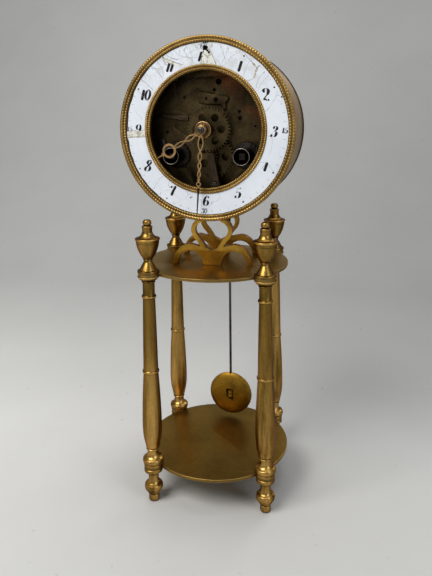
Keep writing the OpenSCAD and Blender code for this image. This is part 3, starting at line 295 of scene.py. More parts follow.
def paint(name, colour, worn, at=(0.35, 0.75), rough=0.45, scale=500, shine=0.5):
    """A thin painted or filled mark, uneven in tone."""
    mat, tree, bsdf, place = new_material(name)
    tone = ramp(tree, noise(tree, place, scale, 4, 0.6), (at[0], colour), (at[1], worn))
    tree.links.new(tone, bsdf.inputs["Base Color"])
    fix(bsdf, {"Roughness": rough, "Specular IOR Level": shine})
    return mat


ENAMEL = enamel_material()
INK = paint("numeral_black", (0.006, 0.006, 0.009), (0.022, 0.022, 0.028), shine=0.2)
FAINT = paint("faded_black", (0.10, 0.10, 0.12), (0.42, 0.44, 0.48))
CRACK = paint("crack_grey", (0.085, 0.080, 0.070), (0.34, 0.33, 0.30))
FILLER = paint("crack_filler", (0.38, 0.35, 0.26), (0.76, 0.76, 0.71), at=(0.34, 0.52), rough=0.6, scale=420)
RUST = paint("rust_stain", (0.33, 0.265, 0.165), (0.69, 0.66, 0.58), at=(0.38, 0.58), rough=0.5, scale=600)
# A dark band at the bezel's lip: painted shade, with some soiling
SHADE_GRIME = paint("edge_shade_and_grime", (0.020, 0.015, 0.008), (0.10, 0.075, 0.04), rough=0.8, shine=0.1)
# Black for the enamel's chips, and for pivot holes, where it is a painted shade
BLACK_AND_SHADE = paint("black_hole", (0.003, 0.003, 0.002), (0.008, 0.006, 0.004), rough=1.0, shine=0.0)


# Mesh tools

def add_piece(name, mesh, mats, body, replaces=(), angle=35):
    """A finished mesh becomes a piece that rides on a body and may stand for CAD nodes."""
    mesh.polygons.foreach_set("use_smooth", [True] * len(mesh.polygons))
    mesh.set_sharp_from_angle(angle=math.radians(angle))
    for m in mats:
        mesh.materials.append(m)
    obj = bpy.data.objects.new(name, mesh)
    bpy.context.scene.collection.objects.link(obj)
    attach(obj, body)
    if replaces:
        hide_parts(*replaces)
    return obj


def finish_mesh(name, bm, mats, body, replaces=(), angle=35, matrix=None):
    mesh = bpy.data.meshes.new(name)
    bm.normal_update()
    bm.to_mesh(mesh)
    bm.free()
    if matrix is not None:
        mesh.transform(matrix)
    return add_piece(name, mesh, mats, body, replaces, angle)


def revolve(bm, profile, n, mill=None, material=None, centre=(0, 0)):
    """Adds a lathe surface. profile lists (radius, height) in millimetres.

    mill gives, by profile point and angle, how far the surface sinks and how strongly it takes the shade_highlight
    colour there (0 to 1): painted shade deep in milled cuts, a painted highlight with wear on proud rings.
    """
    shade_highlight = bm.verts.layers.float.get("shade_highlight") or bm.verts.layers.float.new("shade_highlight")
    rings = []
    for i, (r, z) in enumerate(profile):
        ring = []
        for k in range(n if r > 1e-6 else 1):
            a = 2 * math.pi * k / n
            sink, depth = mill(i, a) if mill else (0, 0)
            x, y = centre[0] + r * math.cos(a), centre[1] + r * math.sin(a)
            vert = bm.verts.new((x * MM, y * MM, (z + sink) * MM))
            vert[shade_highlight] = depth
            ring.append(vert)
        rings.append(ring)
    for i, (a, b) in enumerate(zip(rings, rings[1:])):
        for k in range(n):
            k2 = (k + 1) % n
            if len(a) == 1:
                f = bm.faces.new((a[0], b[k2], b[k]))
            elif len(b) == 1:
                f = bm.faces.new((a[k], a[k2], b[0]))
            else:
                f = bm.faces.new((a[k], a[k2], b[k2], b[k]))
            if material:
                f.material_index = material(i)


def lathe(name, profile, mat, body, replaces=(), n=64, matrix=HEAD_AXIS, mill=None, angle=35):
    """A turned piece, on the drum's axis unless a matrix says where."""
    bm = bmesh.new()
    revolve(bm, profile, n, mill)
    bmesh.ops.recalc_face_normals(bm, faces=bm.faces)
    return finish_mesh(name, bm, [mat], body, replaces, angle, matrix)


def dress(name, mats, bevel, segments=2, cut=None):
    """Stands for a CAD node: the same shape with softened edges.

    A second material goes on the edges or, where there is a cut, past that plane.
    """
    bm = bmesh.new()
    bm.from_mesh(NODES[name].data)
    bmesh.ops.remove_doubles(bm, verts=bm.verts, dist=1e-6)
    bmesh.ops.dissolve_limit(bm, angle_limit=math.radians(1.5), verts=bm.verts, edges=bm.edges)
    if cut:
        bmesh.ops.bisect_plane(bm, geom=bm.verts[:] + bm.edges[:] + bm.faces[:], plane_co=cut[0], plane_no=cut[1])
    mesh = bpy.data.meshes.new(name + "_work")
    bm.to_mesh(mesh)
    bm.free()
    mesh.materials.clear()
    for m in mats:
        mesh.materials.append(m)
    work = bpy.data.objects.new(name + "_work", mesh)
    bpy.context.scene.collection.objects.link(work)
    mod = work.modifiers.new("edge", "BEVEL")
    mod.width = bevel * MM
    mod.segments = segments
    mod.limit_method = "ANGLE"
    mod.angle_limit = math.radians(32)
    mod.material = 1 if len(mats) > 1 and not cut else -1
    done = bpy.data.meshes.new_from_object(work.evaluated_get(bpy.context.evaluated_depsgraph_get()))
    bpy.data.objects.remove(work)
    obj = add_piece(name + "_dressed", done, [], BODY_OF[name], [name], 40)
    if cut:
        for f in done.polygons:
            f.material_index = 1 if (f.center - cut[0]).dot(cut[1]) > 0 else 0
    return obj


# Lines and profiles, in millimetres

def bend(a, c, b, steps=14):
    """A curve from a to b that is drawn toward c."""
    return [tuple((1 - t) ** 2 * p + 2 * t * (1 - t) * q + t * t * s for p, q, s in zip(a, c, b))
            for t in (i / steps for i in range(steps + 1))]


def bead(r, z0, z1, out, steps=14):
    """A round moulding between two heights."""
    turns = [math.pi * i / steps for i in range(steps + 1)]
    return [(r + out * math.sin(t), (z0 + z1) / 2 - (z1 - z0) / 2 * math.cos(t)) for t in turns]


def hoop(r, thick, z, steps=12):
    """Profile of a round wire bent to a ring."""
    turns = [2 * math.pi * i / steps for i in range(steps + 1)]
    return [(r + thick * math.cos(t), z + thick * math.sin(t)) for t in turns]


def rib(r, front, width, height, steps):
    """Profile of a rounded rib, from its inner to its outer foot."""
    turns = [math.pi * k / steps for k in range(steps + 1)]
    return [(r + width / 2 * (1 - math.cos(t)), front + height * (1 - math.sin(t))) for t in turns]


def in_front(y, profile):
    """A profile given by how far each point stands in front of a place on the axis."""
    return [(r, y - out) for r, out in profile]


def smooth(points, steps=8):
    """A smooth line through the points."""
    out = []
    n = len(points) - 1
    for i in range(n):
        p0, p1, p2, p3 = points[max(i - 1, 0)], points[i], points[i + 1], points[min(i + 2, n)]
        for k in range(steps):
            t = k / steps
            out.append(tuple(0.5 * (2 * b + (c - a) * t + (2 * a - 5 * b + 4 * c - d) * t * t
                                    + (3 * b - a - 3 * c + d) * t ** 3)
                             for a, b, c, d in zip(p0, p1, p2, p3)))
    out.append(points[-1])
    return out


def sides(points, widths):
    """The two edges of a line that has a width at each point."""
    left, right = [], []
    n = len(points) - 1
    for i, (x, z) in enumerate(points):
        (x0, z0), (x1, z1) = points[max(i - 1, 0)], points[min(i + 1, n)]
        d = math.hypot(x1 - x0, z1 - z0) or 1
        ox, oz = -(z1 - z0) / d * widths[i] / 2, (x1 - x0) / d * widths[i] / 2
        left.append((x + ox, z + oz))
        right.append((x - ox, z - oz))
    return left, right


def strip(points, widths):
    """The outline of a line that has a width at each point."""
    left, right = sides(points, widths)
    return left + right[::-1]


# Portico: columns, finials and feet, turned more finely than the solids

CAP_R = 7.3


def column_profile():
    h = UPPER_Z - PLATE_T - LOWER_Z
    band_r, bulb_h, neck, ring1, ring2, ring3 = 6.6, 5.4, 3.8, 11.9, 68.4, 121.1
    swell_r, swell_z, mid_r, top_r, cap = 6.7, 30, 5.1, 4.05, h - 4.8
    return ([(0, 0), (band_r - 0.3, 0), (band_r - 0.1, 0.2), (band_r - 0.1, 1.4), (band_r - 0.35, 1.6)]
            + bead(band_r - 0.3, 1.8, bulb_h, 0.9)
            + bend((band_r - 0.5, bulb_h + 0.2), (neck + 0.4, bulb_h + 1.0), (neck, bulb_h + 3.6))
            + [(neck, ring1 - 0.9)] + bead(neck, ring1 - 0.8, ring1 + 0.6, 0.75)
            + bend((neck + 0.2, ring1 + 0.8), (neck + 1, ring1 + 0.9), (4.9, ring1 + 2.9))
            + bend((5.4, ring1 + 5.4), (swell_r - 0.1, swell_z - 9), (swell_r, swell_z), 18)
            + bend((swell_r - 0.05, swell_z + 4), (swell_r - 0.4, swell_z + 22), (mid_r, ring2 - 1.3), 18)
            + bead(mid_r, ring2 - 1.1, ring2 + 1.1, 0.65)
            + bend((mid_r, ring2 + 1.3), (mid_r - 0.3, (ring2 + ring3) / 2), (top_r + 0.1, ring3 - 1.3), 18)
            + bead(top_r + 0.1, ring3 - 1.1, ring3 + 1.1, 0.8)
            + [(top_r, ring3 + 1.3), (top_r, cap - 0.1)] + bead(top_r, cap, cap + 1.2, 0.6)
            + bend((top_r + 0.5, cap + 1.4), (CAP_R - 1.2, h - 2.8), (CAP_R - 0.6, h - 1.3))
            + [(CAP_R - 0.15, h - 1.2), (CAP_R, h - 1.05), (CAP_R, h - 0.15), (CAP_R - 0.15, h), (0, h)])


def finial_profile():
    h, base_h, stem, stem_z, lid, urn, spire, spire_z = 35.7, 1.8, 2.8, 8.4, 22.4, 8.3, 3.3, 26.6
    return ([(0, 0), (CAP_R - 0.2, 0), (CAP_R, 0.2), (CAP_R, base_h - 0.4), (CAP_R - 0.15, base_h - 0.15),
             (CAP_R - 0.5, base_h)]
            + bend((stem + 3.1, base_h + 0.2), (stem + 1.8, base_h + 2.8), (stem + 0.1, stem_z - 0.9))
            + bead(stem, stem_z + 0.1, stem_z + 1.1, 0.5)
            + bend((stem + 0.5, stem_z + 1.3), (urn - 1.5, stem_z + 6), (urn - 0.65, lid - 2.2), 20)
            + [(urn - 0.85, lid - 2.1), (urn - 0.85, lid - 1.9), (urn - 0.6, lid - 1.8), (urn - 0.5, lid - 0.5),
               (urn - 0.1, lid), (urn, lid + 0.3), (urn, lid + 0.8), (urn - 0.1, lid + 1.0), (urn - 0.4, lid + 1.2)]
            + bend((urn - 1.3, lid + 1.4), (spire + 1.1, lid + 2.0), (spire + 0.2, spire_z + 0.9), 18)
            + [(spire, spire_z + 1), (spire + 0.1, h - 5.3), (spire + 0.25, h - 5.1), (spire + 0.25, h - 4.4),
               (spire, h - 4.1), (2.4, h - 3.9)]
            + bead(1.7, h - 3.9, h, 1.2, 18)[:-1] + [(1.3, h - 0.02), (0.6, h), (0, h)])


def foot_profile():
    h, end, neck, ring = LOWER_Z - PLATE_T, 3.6, 3.5, 6.4
    toe, cone_z, ring_z, ring_top = 4.9, 5.4, 8.4, 12.9
    return ([(0, 0)] + bend((2.4, 0), (end, 0), (end, 1.4))
            + bend((end, toe - 1.2), (end, toe - 0.2), (end - 0.5, toe))
            + bend((end - 0.4, cone_z), (ring - 1.7, cone_z + 0.4), (ring - 1.3, ring_z - 0.4))
            + [(ring - 1.5, ring_z - 0.2)] + bead(ring - 0.8, ring_z, ring_top, 0.8)
            + bend((ring - 0.9, ring_top + 0.1), (neck + 0.3, ring_top + 0.7), (neck, ring_top + 3.2))
            + bend((neck, h - 4.9), (neck + 0.4, h - 4.0), (ring - 0.5, h - 2.9))
            + [(ring - 0.1, h - 2.5), (ring, h - 2.3), (ring, h - 0.15), (ring - 0.15, h), (0, h)])


def rubbed(profile, reach=1.2, proud=0.6):
    """Rings that stand proud of the profile around them, made bright by wear and a painted highlight: a mill that
    cuts nothing.
    """
    def radius(at):
        spans = zip(profile, profile[1:])
        return max((r0 + (r1 - r0) * (at - z0) / (z1 - z0) for (r0, z0), (r1, z1) in spans if z0 <= at < z1),
                   default=0)

    bright = [min(1, max(0, (r - max(radius(z - reach), radius(z + reach))) / proud)) for r, z in profile]
    return lambda i, a: (0, bright[i])


for side, sx in (("left", -1), ("right", 1)):
    for depth, sy in (("front", -1), ("back", 1)):
        corner = f"{depth}_{side}"
        for kind, profile, z in (("column", column_profile(), LOWER_Z), ("finial", finial_profile(), UPPER_Z),
                                 ("foot", foot_profile(), 0)):
            place = Matrix.Translation((sx * CORNER * MM, sy * CORNER * MM, z * MM))
            lathe(f"{kind}_{corner}_turned", profile, GILT, ROOT, [f"{kind}_{corner}"], n=96,
                  mill=rubbed(profile), matrix=place)

# The plates' bevels take the lighter edge colour: a painted highlight with wear
dress("lower_plate", [LOWER, EDGE], 0.4, 3)
dress("upper_plate", [UPPER, EDGE], 0.4, 3)
dress("front_bracket", [BRACKET, EDGE], 0.5, 3)
dress("back_bracket", [BRACKET, EDGE], 0.5, 3)


# Drum: milled bezel, beaded inner ring, tube and rear rim

# Cuts around each ring, as estimated from the photograph, and mesh steps for each cut
FRONT_CUTS, INNER_CUTS, CUT_STEPS = 192, 174, 8


def milling(ribs, count):
    """Cuts along ribs of a profile.

    Each rib: first point, steps, depth, how far the cuts slant over it, how dark the painted shade in the cuts is.
    """
    def step(i, a):
        for first, steps, depth, slant, cut_shade in ribs:
            if first <= i <= first + steps:
                across = (i - first) / steps
                swell = math.sin(math.pi * across)
                wave = (0.5 + 0.5 * math.cos(count * a + slant * across)) ** 1.3
                return depth * swell * wave, cut_shade * wave * swell ** 0.4
        return 0, 0
    return step


def milled_ring(name, node_name, foot, beads, valley, rope, end, count, bead_cut, rope_cut):
    """A ring with two milled ribs. Each cut: depth, slant and painted shade."""
    first, start = len(foot), len(foot) + len(beads) + len(valley)
    cuts = milling([(first, len(beads) - 1, *bead_cut), (start, len(rope) - 1, *rope_cut)], count)
    lathe(name, foot + beads + valley + rope + end, BEZEL, ROOT, [node_name],
          n=count * CUT_STEPS, mill=cuts, angle=60)


def front_bezel():
    front, back = BEZEL_FRONT, BEZEL_FRONT + BEZEL_DEPTH
    lip = [(LIP_R, ENAMEL_Y), (LIP_R, front + 0.75)]
    beads = rib(LIP_R + 0.1, front + 0.1, 1.35, 0.65, 6)
    valley = [(LIP_R + 1.6, front + 0.8), (LIP_R + 1.75, front + 0.8)]
    rope = rib(LIP_R + 1.9, front, BEZEL_R - LIP_R - 1.95, 0.9, 10)
    flank = [(BEZEL_R, front + 1.3), (BEZEL_R, back - 1), (BEZEL_R - 0.25, back - 0.5), (BEZEL_R - 0.8, back),
             (DRUM_R + 0.02, back)]
    milled_ring("front_bezel_milled", "front_bezel", lip, beads, valley, rope, flank, FRONT_CUTS,
                (0.42, 0, 0.9), (0.2, 0.8 * math.pi, 0.45))


def inner_bezel():
    front = ENAMEL_Y - 1
    wall = [(OPENING_R, DRUM_FRONT), (OPENING_R, front + 0.8)]
    beads = rib(OPENING_R + 0.1, front + 0.05, 1.5, 0.75, 6)
    valley = [(OPENING_R + 1.75, front + 0.8), (OPENING_R + 1.9, front + 0.8)]
    rope = rib(OPENING_R + 2.05, front, 1.65, 0.8, 8)
    rim = [(RING_R, front + 0.85), (RING_R, ENAMEL_Y)]
    milled_ring("inner_bezel_beaded", "inner_bezel", wall, beads, valley, rope, rim, INNER_CUTS,
                (0.6, 0, 0.7), (0.35, math.pi, 0.35))


front_bezel()
inner_bezel()
dress("drum_case", [DRUM], 0.2)
dress("rear_bezel", [STEEL], 0.25)
dress("dial_plate", [DARK], 0.15, 1)


# Enamel chapter ring and its painted marks

RING_IN = OPENING_R + 2
CHAPTER_RING = [(RING_IN, -1.3), (RING_IN, -0.25), (RING_IN + 0.25, -0.02), (RING_R + 0.6, 0), (50, 0), (56.6, 0),
                (DIAL_R - 0.3, -0.05), (DIAL_R, -0.3), (DIAL_R, -1.3)]
lathe("chapter_ring", in_front(ENAMEL_Y, CHAPTER_RING), ENAMEL, ROOT, ["dial_ring"], n=256)


def clock(angle, r):
    a = math.radians(angle)
    return r * math.sin(a), r * math.cos(a)


class Marks:
    """Thin flat shapes that lie on the dial, gathered by material."""

    def __init__(self, name, mat, lift):
        self.name, self.mat, self.lift, self.bm = name, mat, lift, bmesh.new()

    def vert(self, x, z):
        return self.bm.verts.new(HEAD @ Vector((x * MM, (ENAMEL_Y - self.lift) * MM, z * MM)))

    def polygon(self, points):
        self.bm.faces.new([self.vert(*p) for p in points])

    def ribbon(self, points, widths):
        left, right = ([self.vert(*p) for p in edge] for edge in sides(points, widths))
        for i in range(len(points) - 1):
            self.bm.faces.new((left[i], left[i + 1], right[i + 1], right[i]))

    def disc(self, x, z, r, seed=None, corners=16):
        """A dot; with a seed, one with an uneven edge."""
        rnd = random.Random(seed)
        rough = 0 if seed is None else 0.25
        turns = [2 * math.pi * k / corners for k in range(corners)]
        reach = [r * (1 + rnd.uniform(-rough, rough)) for _ in turns]
        self.polygon([(x + s * math.cos(t), z + s * math.sin(t)) for t, s in zip(turns, reach)])

    def crack(self, points, width, seed, stray=0.18):
        """A crack that runs unevenly through the points."""
        rnd = random.Random(seed)
        path = [(x + rnd.uniform(-stray, stray), z + rnd.uniform(-stray, stray)) for x, z in smooth(points, 6)]
        path = [p for p in path if RING_R < math.hypot(*p) < LIP_R]
        self.ribbon(path, [width * rnd.uniform(0.4, 1.4) for _ in path])

    def close(self):
        front = HEAD.to_3x3() @ Vector((0, -1, 0))
        self.bm.normal_update()
        for f in self.bm.faces:
            if f.normal.dot(front) < 0:
                f.normal_flip()
        return finish_mesh(self.name, self.bm, [self.mat], ROOT)


SIX = [(0.47, 0.86), (0.40, 0.97), (0.28, 0.98), (0.12, 0.78), (0.05, 0.42), (0.11, 0.10), (0.27, 0.0),
       (0.44, 0.09), (0.50, 0.29), (0.42, 0.50), (0.28, 0.55), (0.13, 0.42), (0.07, 0.26)]
# Each digit: lines of points, with how heavy the pen presses, and the round ends
DIGITS = {
    "0": ([([(0.28, 1.0), (0.12, 0.82), (0.05, 0.5), (0.12, 0.18), (0.28, 0.0), (0.44, 0.18), (0.51, 0.5),
             (0.44, 0.82), (0.28, 1.0)], 1.0)], []),
    "1": ([([(0.16, 0.80), (0.24, 0.88), (0.34, 1.0)], 0.1),
           ([(0.33, 1.0), (0.315, 0.75), (0.30, 0.35), (0.28, 0.0)], 1.15)], []),
    "2": ([([(0.08, 0.70), (0.10, 0.88), (0.26, 1.0), (0.43, 0.92), (0.49, 0.74), (0.43, 0.54), (0.33, 0.42)], 1.1),
           ([(0.33, 0.42), (0.24, 0.30), (0.14, 0.16), (0.08, 0.05)], 0.6),
           ([(0.08, 0.05), (0.18, 0.14), (0.32, 0.04), (0.44, 0.0), (0.54, 0.10)], 1.3)], [(0.12, 0.72, 0.08)]),
    "3": ([([(0.12, 0.80), (0.18, 0.95), (0.32, 1.0), (0.45, 0.88), (0.42, 0.68), (0.25, 0.55)], 1.0),
           ([(0.25, 0.55), (0.44, 0.47), (0.51, 0.27), (0.42, 0.06), (0.24, 0.0), (0.10, 0.06), (0.07, 0.18)], 1.1)],
          [(0.15, 0.82, 0.08), (0.11, 0.17, 0.09)]),
    "4": ([([(0.42, 1.0), (0.24, 0.66), (0.04, 0.32)], 0.05), ([(0.04, 0.32), (0.3, 0.32), (0.56, 0.32)], 0.1),
           ([(0.41, 0.92), (0.40, 0.45), (0.37, 0.0)], 1.15)], []),
    "5": ([([(0.17, 0.96), (0.34, 0.95), (0.50, 1.0)], 0.7), ([(0.17, 0.96), (0.15, 0.75), (0.12, 0.53)], 0.1),
           ([(0.12, 0.53), (0.28, 0.62), (0.46, 0.52), (0.51, 0.30), (0.41, 0.06), (0.24, 0.0), (0.10, 0.06),
             (0.07, 0.17)], 1.1)], [(0.11, 0.16, 0.09), (0.49, 0.985, 0.06)]),
    "6": ([(SIX, 1.0)], [(0.45, 0.84, 0.07)]),
    "7": ([([(0.06, 0.80), (0.10, 0.98), (0.26, 0.93), (0.40, 0.90), (0.54, 1.0)], 0.8),
           ([(0.54, 1.0), (0.42, 0.68), (0.32, 0.4), (0.26, 0.0)], 1.15)], []),
    "8": ([([(0.45, 0.86), (0.31, 1.0), (0.15, 0.89), (0.15, 0.70), (0.31, 0.53), (0.48, 0.36), (0.49, 0.13),
             (0.30, 0.0), (0.10, 0.10), (0.09, 0.30), (0.26, 0.49), (0.42, 0.68), (0.45, 0.86)], 1.0)], []),
    "9": ([([(0.56 - x, 1 - y) for x, y in SIX], 1.0)], [(0.11, 0.16, 0.07)]),
}
# Widths of a digit and of a 1, where a 1 starts, and the weight up to which a stroke is a hairline
WIDE, NARROW, ONE_START, HAIRLINE = 0.58, 0.36, 0.13, 0.2


def numeral(marks, text, x, z, height, slant, stem=0.25, hair=0.022, gap=0.05):
    """Numerals in a thick-and-thin hand, centred on a point."""
    advance = [NARROW if c == "1" else WIDE for c in text]
    pen = -(sum(advance) + gap * (len(text) - 1)) / 2
    for c, step in zip(text, advance):
        lines, ends = DIGITS[c]
        start = pen - (ONE_START if c == "1" else 0)

        def put(px, py):
            return x + (start + px + slant * (py - 0.5)) * height, z + (py - 0.5) * height

        for points, weight in lines:
            path = smooth(points)
            last = len(path) - 1
            widths = []
            for i in range(last + 1):
                (x0, y0), (x1, y1) = path[max(i - 1, 0)], path[min(i + 1, last)]
                down = abs(y1 - y0) / (math.hypot(x1 - x0, y1 - y0) or 1)
                taper = min(1, 6 * min(i, last - i) / (last + 1) + 0.35)
                swell = (stem * weight - hair) * down ** 2.2 * taper if weight > HAIRLINE else 0
                widths.append(height * (hair + swell))
            marks.ribbon([put(*p) for p in path], widths)
        for ex, ey, er in ends:
            marks.disc(*put(ex, ey), er * height)
        pen += step + gap


NUMERAL_R, HOUR_DOT_R, DOT, DIAL_TURN = 47.8, 54.6, 0.58, 0.6
QUARTER_R, QUARTER_H, QUARTER_SLANT = 54.7, 3.5, 0.15
MINUTE_R, MINUTE_W = (53.9, 55.5), 0.19
# Each hand-painted hour: how far it stands past its place, in degrees, its height and its slant
HOURS = {
    1: (1.8, 6.7, 0.30), 2: (2.0, 7.7, -0.02), 3: (1.5, 6.8, 0.26), 4: (-0.2, 6.4, 0.30), 5: (0.9, 6.7, 0.15),
    6: (-1.2, 6.6, 0.18), 7: (-0.8, 6.7, 0.25), 8: (-1.0, 7.8, 0.34), 9: (0.6, 6.4, 0.15), 10: (-0.2, 7.0, 0.22),
    11: (0.9, 6.4, 0.32), 12: (0.0, 6.2, 0.30),
}
ink = Marks("dial_numerals", INK, 0.03)
for hour, (shift, height, slant) in HOURS.items():
    numeral(ink, str(hour), *clock(30 * hour + shift, NUMERAL_R), height, slant)
    if hour % 3:
        ink.disc(*clock(30 * hour + DIAL_TURN, HOUR_DOT_R), DOT, hour)
ink.close()

fine, bold = Marks("dial_minutes", FAINT, 0.025), Marks("dial_fifteen", INK, 0.028)
for minute in range(60):
    angle = 6 * minute + DIAL_TURN
    if minute % 15 == 0:
        numeral(bold if minute == 15 else fine, str(minute or 60), *clock(angle, QUARTER_R), QUARTER_H,
                QUARTER_SLANT, hair=0.06)
    elif minute % 5:
        fine.ribbon([clock(angle, r) for r in MINUTE_R], [MINUTE_W, MINUTE_W])
fine.close()
bold.close()

# Old repairs and damage, as points on the dial: x to the right and z up from its middle
FILLED = (
    [(-1.5, 43.1), (-0.9, 48.6), (0.5, 52.3), (1.6, 53.4), (3.5, 52.9), (5.7, 50.5), (6.8, 47.6), (9.1, 42.2)],
    [(-56.6, -1.2), (-52.0, -0.5), (-47.5, -0.9), (-43.1, 0.2), (-43.0, -4.6), (-48.0, -5.1), (-53.0, -4.8),
     (-56.3, -5.5)],
    [(-29.6, 49.2), (-26.8, 46.0), (-22.0, 43.8), (-15.5, 41.6), (-16.5, 43.4), (-22.5, 46.4), (-27.2, 48.4)],
)
filler = Marks("dial_filler", FILLER, 0.036)
for outline in FILLED:
    filler.polygon(outline)
filler.close()

# A dark band in the corner between the enamel and the bezel, widest at the left: painted shade of the bezel's lip,
# with some soiling
SHADE_GRIME_W, SHADE_GRIME_LEFT, SHADE_GRIME_STEP, SHADE_GRIME_SEED = 0.4, 1.0, 3, 7
rnd = random.Random(SHADE_GRIME_SEED)
edge = []
for angle in range(0, 361, SHADE_GRIME_STEP):
    left = max(0, -math.sin(math.radians(angle))) ** 2
    edge.append((angle, (SHADE_GRIME_W + SHADE_GRIME_LEFT * left) * rnd.uniform(0.75, 1.25)))
edge[-1] = (360, edge[0][1])
grime_and_shade = Marks("dial_lip_shade_and_grime", SHADE_GRIME, 0.020)
grime_and_shade.ribbon([clock(a, LIP_R - w / 2) for a, w in edge], [w for a, w in edge])
grime_and_shade.close()

# Each stain or crack: its points and its width
STAINS = (
    ([(33.1, 42.7), (36.3, 39.1), (35.5, 36.8), (34.3, 32.9)], 1.0),
    ([(38.4, 40.6), (36.3, 39.1), (35.4, 37.4)], 0.7),
    ([(-56.3, -5.2), (-50.0, -4.7), (-43.1, -4.4)], 0.6),
    ([(-29.6, 49.6), (-26.0, 45.6), (-20.5, 43.4)], 0.5),
)
stain = Marks("dial_stain", RUST, 0.040)
for seed, (points, width) in enumerate(STAINS, 1):
    stain.crack(points, width, seed)
stain.close()

CRACKS = (
    ([(-1.5, 43.1), (-0.9, 48.6), (0.5, 52.3), (1.2, 54.2)], 0.42),
    ([(9.1, 42.2), (6.8, 47.6), (5.7, 50.5), (3.0, 53.4)], 0.30),
    ([(1.2, 49.2), (3.4, 48.4), (5.9, 48.9)], 0.21), ([(2.4, 43.1), (3.2, 46.0), (2.6, 49.0)], 0.18),
    ([(-29.9, 50.0), (-26.4, 46.9), (-21.9, 45.6), (-14.8, 42.9)], 0.33),
    ([(-29.0, 48.7), (-27.3, 44.9), (-25.1, 42.4)], 0.30), ([(-25.4, 49.4), (-21.0, 47.2), (-17.4, 46.6)], 0.27),
    ([(-38.3, 42.8), (-34.7, 41.5), (-29.4, 35.1)], 0.24), ([(-45.1, 34.7), (-39.6, 30.4), (-36.0, 27.0)], 0.24),
    ([(-33.0, 46.2), (-29.6, 41.5), (-28.4, 36.0)], 0.15),
    ([(-21.0, 53.0), (-16.0, 49.0), (-9.5, 47.5), (-3.0, 47.0)], 0.15),
    ([(-10.0, 55.0), (-8.0, 50.0), (-7.4, 44.5)], 0.12),
    ([(-56.6, -1.0), (-52.0, -0.4), (-47.5, -0.8), (-43.1, 0.3)], 0.24),
    ([(-56.3, -5.6), (-53.0, -4.9), (-48.0, -5.2), (-43.0, -4.7)], 0.27),
    ([(-48.0, 27.5), (-42.0, 21.0), (-39.0, 18.5)], 0.15), ([(12.0, 55.5), (13.6, 50.0), (15.8, 43.5)], 0.15),
    ([(17.0, 53.8), (16.0, 49.0), (13.0, 43.2)], 0.12), ([(28.0, 48.5), (33.0, 43.2), (36.3, 39.1)], 0.21),
    ([(34.3, 32.9), (31.0, 31.5), (29.4, 31.8)], 0.18), ([(41.5, 37.0), (37.8, 33.0), (35.5, 26.0)], 0.135),
    ([(50.0, 24.5), (46.5, 17.0), (42.0, 11.5)], 0.15), ([(44.0, 34.0), (40.0, 30.5), (36.5, 24.8)], 0.12),
    ([(48.0, -28.0), (43.0, -22.0), (38.0, -21.0)], 0.09), ([(-38.0, -41.0), (-33.0, -34.0), (-30.0, -31.5)], 0.09),
)
cracks = Marks("dial_cracks", CRACK, 0.044)
for seed, (points, width) in enumerate(CRACKS):
    cracks.crack(points, width, seed)
cracks.close()

# Each chip: x, z and radius
CHIPS = (
    (1.6, 53.4, 1.7), (4.1, 50.3, 0.85), (3.0, 51.6, 0.7), (0.2, 51.0, 0.5), (-0.6, 47.9, 0.4), (0.6, 56.7, 0.55),
    (2.0, 56.8, 0.6), (3.4, 56.6, 0.5), (-56.6, -0.2, 0.5), (-56.0, -7.6, 0.5), (52.4, 20.7, 0.55),
    (-10.3, -46.0, 0.45), (-9.4, -45.4, 0.35), (0.2, 44.6, 0.35),
)
chips = Marks("dial_chips", BLACK_AND_SHADE, 0.048)
for seed, (x, z, r) in enumerate(CHIPS):
    chips.disc(x, z, r, seed)
chips.close()


# Hands: softened chain links, a dark tip, rimmed bosses and a steel nut

COLLET = [(0, 1.05), (2.0, 1.05), (2.6, 0.95), (3.1, 0.7), (3.35, 0.35), (3.4, 0), (0, 0)]
STEEL_NUT = [(0, 2.6), (0.9, 2.58), (1.5, 2.45), (2.0, 2.1), (2.2, 1.7), (2.3, 1.0), (0, 1.0)]
BOSS_WEB = [(3.6, 0.02), (4.95, 0.02)]
BOSS_R, BOSS_WIRE = 5.25, 0.42
hour_body, nut_body = BODY_OF["hour_hand"], BODY_OF["hand_nut"]
tip_way = HEAD.to_3x3() @ Vector((math.sin(MINUTE_ANGLE), 0, math.cos(MINUTE_ANGLE)))
dress("hour_hand", [HAND], 0.24, 3)
dress("minute_hand", [HAND, BLACK], 0.24, 3, cut=(HEAD.translation + STEEL_TIP * MM * tip_way, tip_way))
lathe("hour_boss_rim", hoop(BOSS_R, BOSS_WIRE, HOUR_FRONT - 0.05), HAND, hour_body)
lathe("hour_boss_web", in_front(HOUR_FRONT, BOSS_WEB), BRONZE, hour_body)
lathe("hand_collet", in_front(NUT_BACK, COLLET), BRONZE, nut_body, ["hand_nut"])
lathe("hand_nut_steel", in_front(NUT_BACK, STEEL_NUT), STEEL, nut_body, n=48)


# Movement, seen through the dial and from behind

# Each piece with softened edges: its look and the width of the edges
SOFTENED = {
    "front_plate": (DARK, 0.2), "back_plate": (COCK, 0.2), "motion_cock": (COCK, 0.35), "back_cock": (COCK, 0.35),
    "going_arbor": (BLACK, 0.12), "strike_arbor": (BLACK, 0.12), "ratchet_clicks": (STEEL, 0.2),
    "hammer": (STEEL, 0.25), "bell_stand": (STEEL, 0.2), "crutch": (STEEL, 0.15), "suspension": (WHEEL, 0.15),
    "pendulum_rod": (STEEL, 0.1), "pendulum_bob": (BOB, 0.3), "screws": (STEEL, 0.18), "plate_pillars": (WHEEL, 0.2),
}
for name, (mat, bevel) in SOFTENED.items():
    dress(name, [mat], bevel)

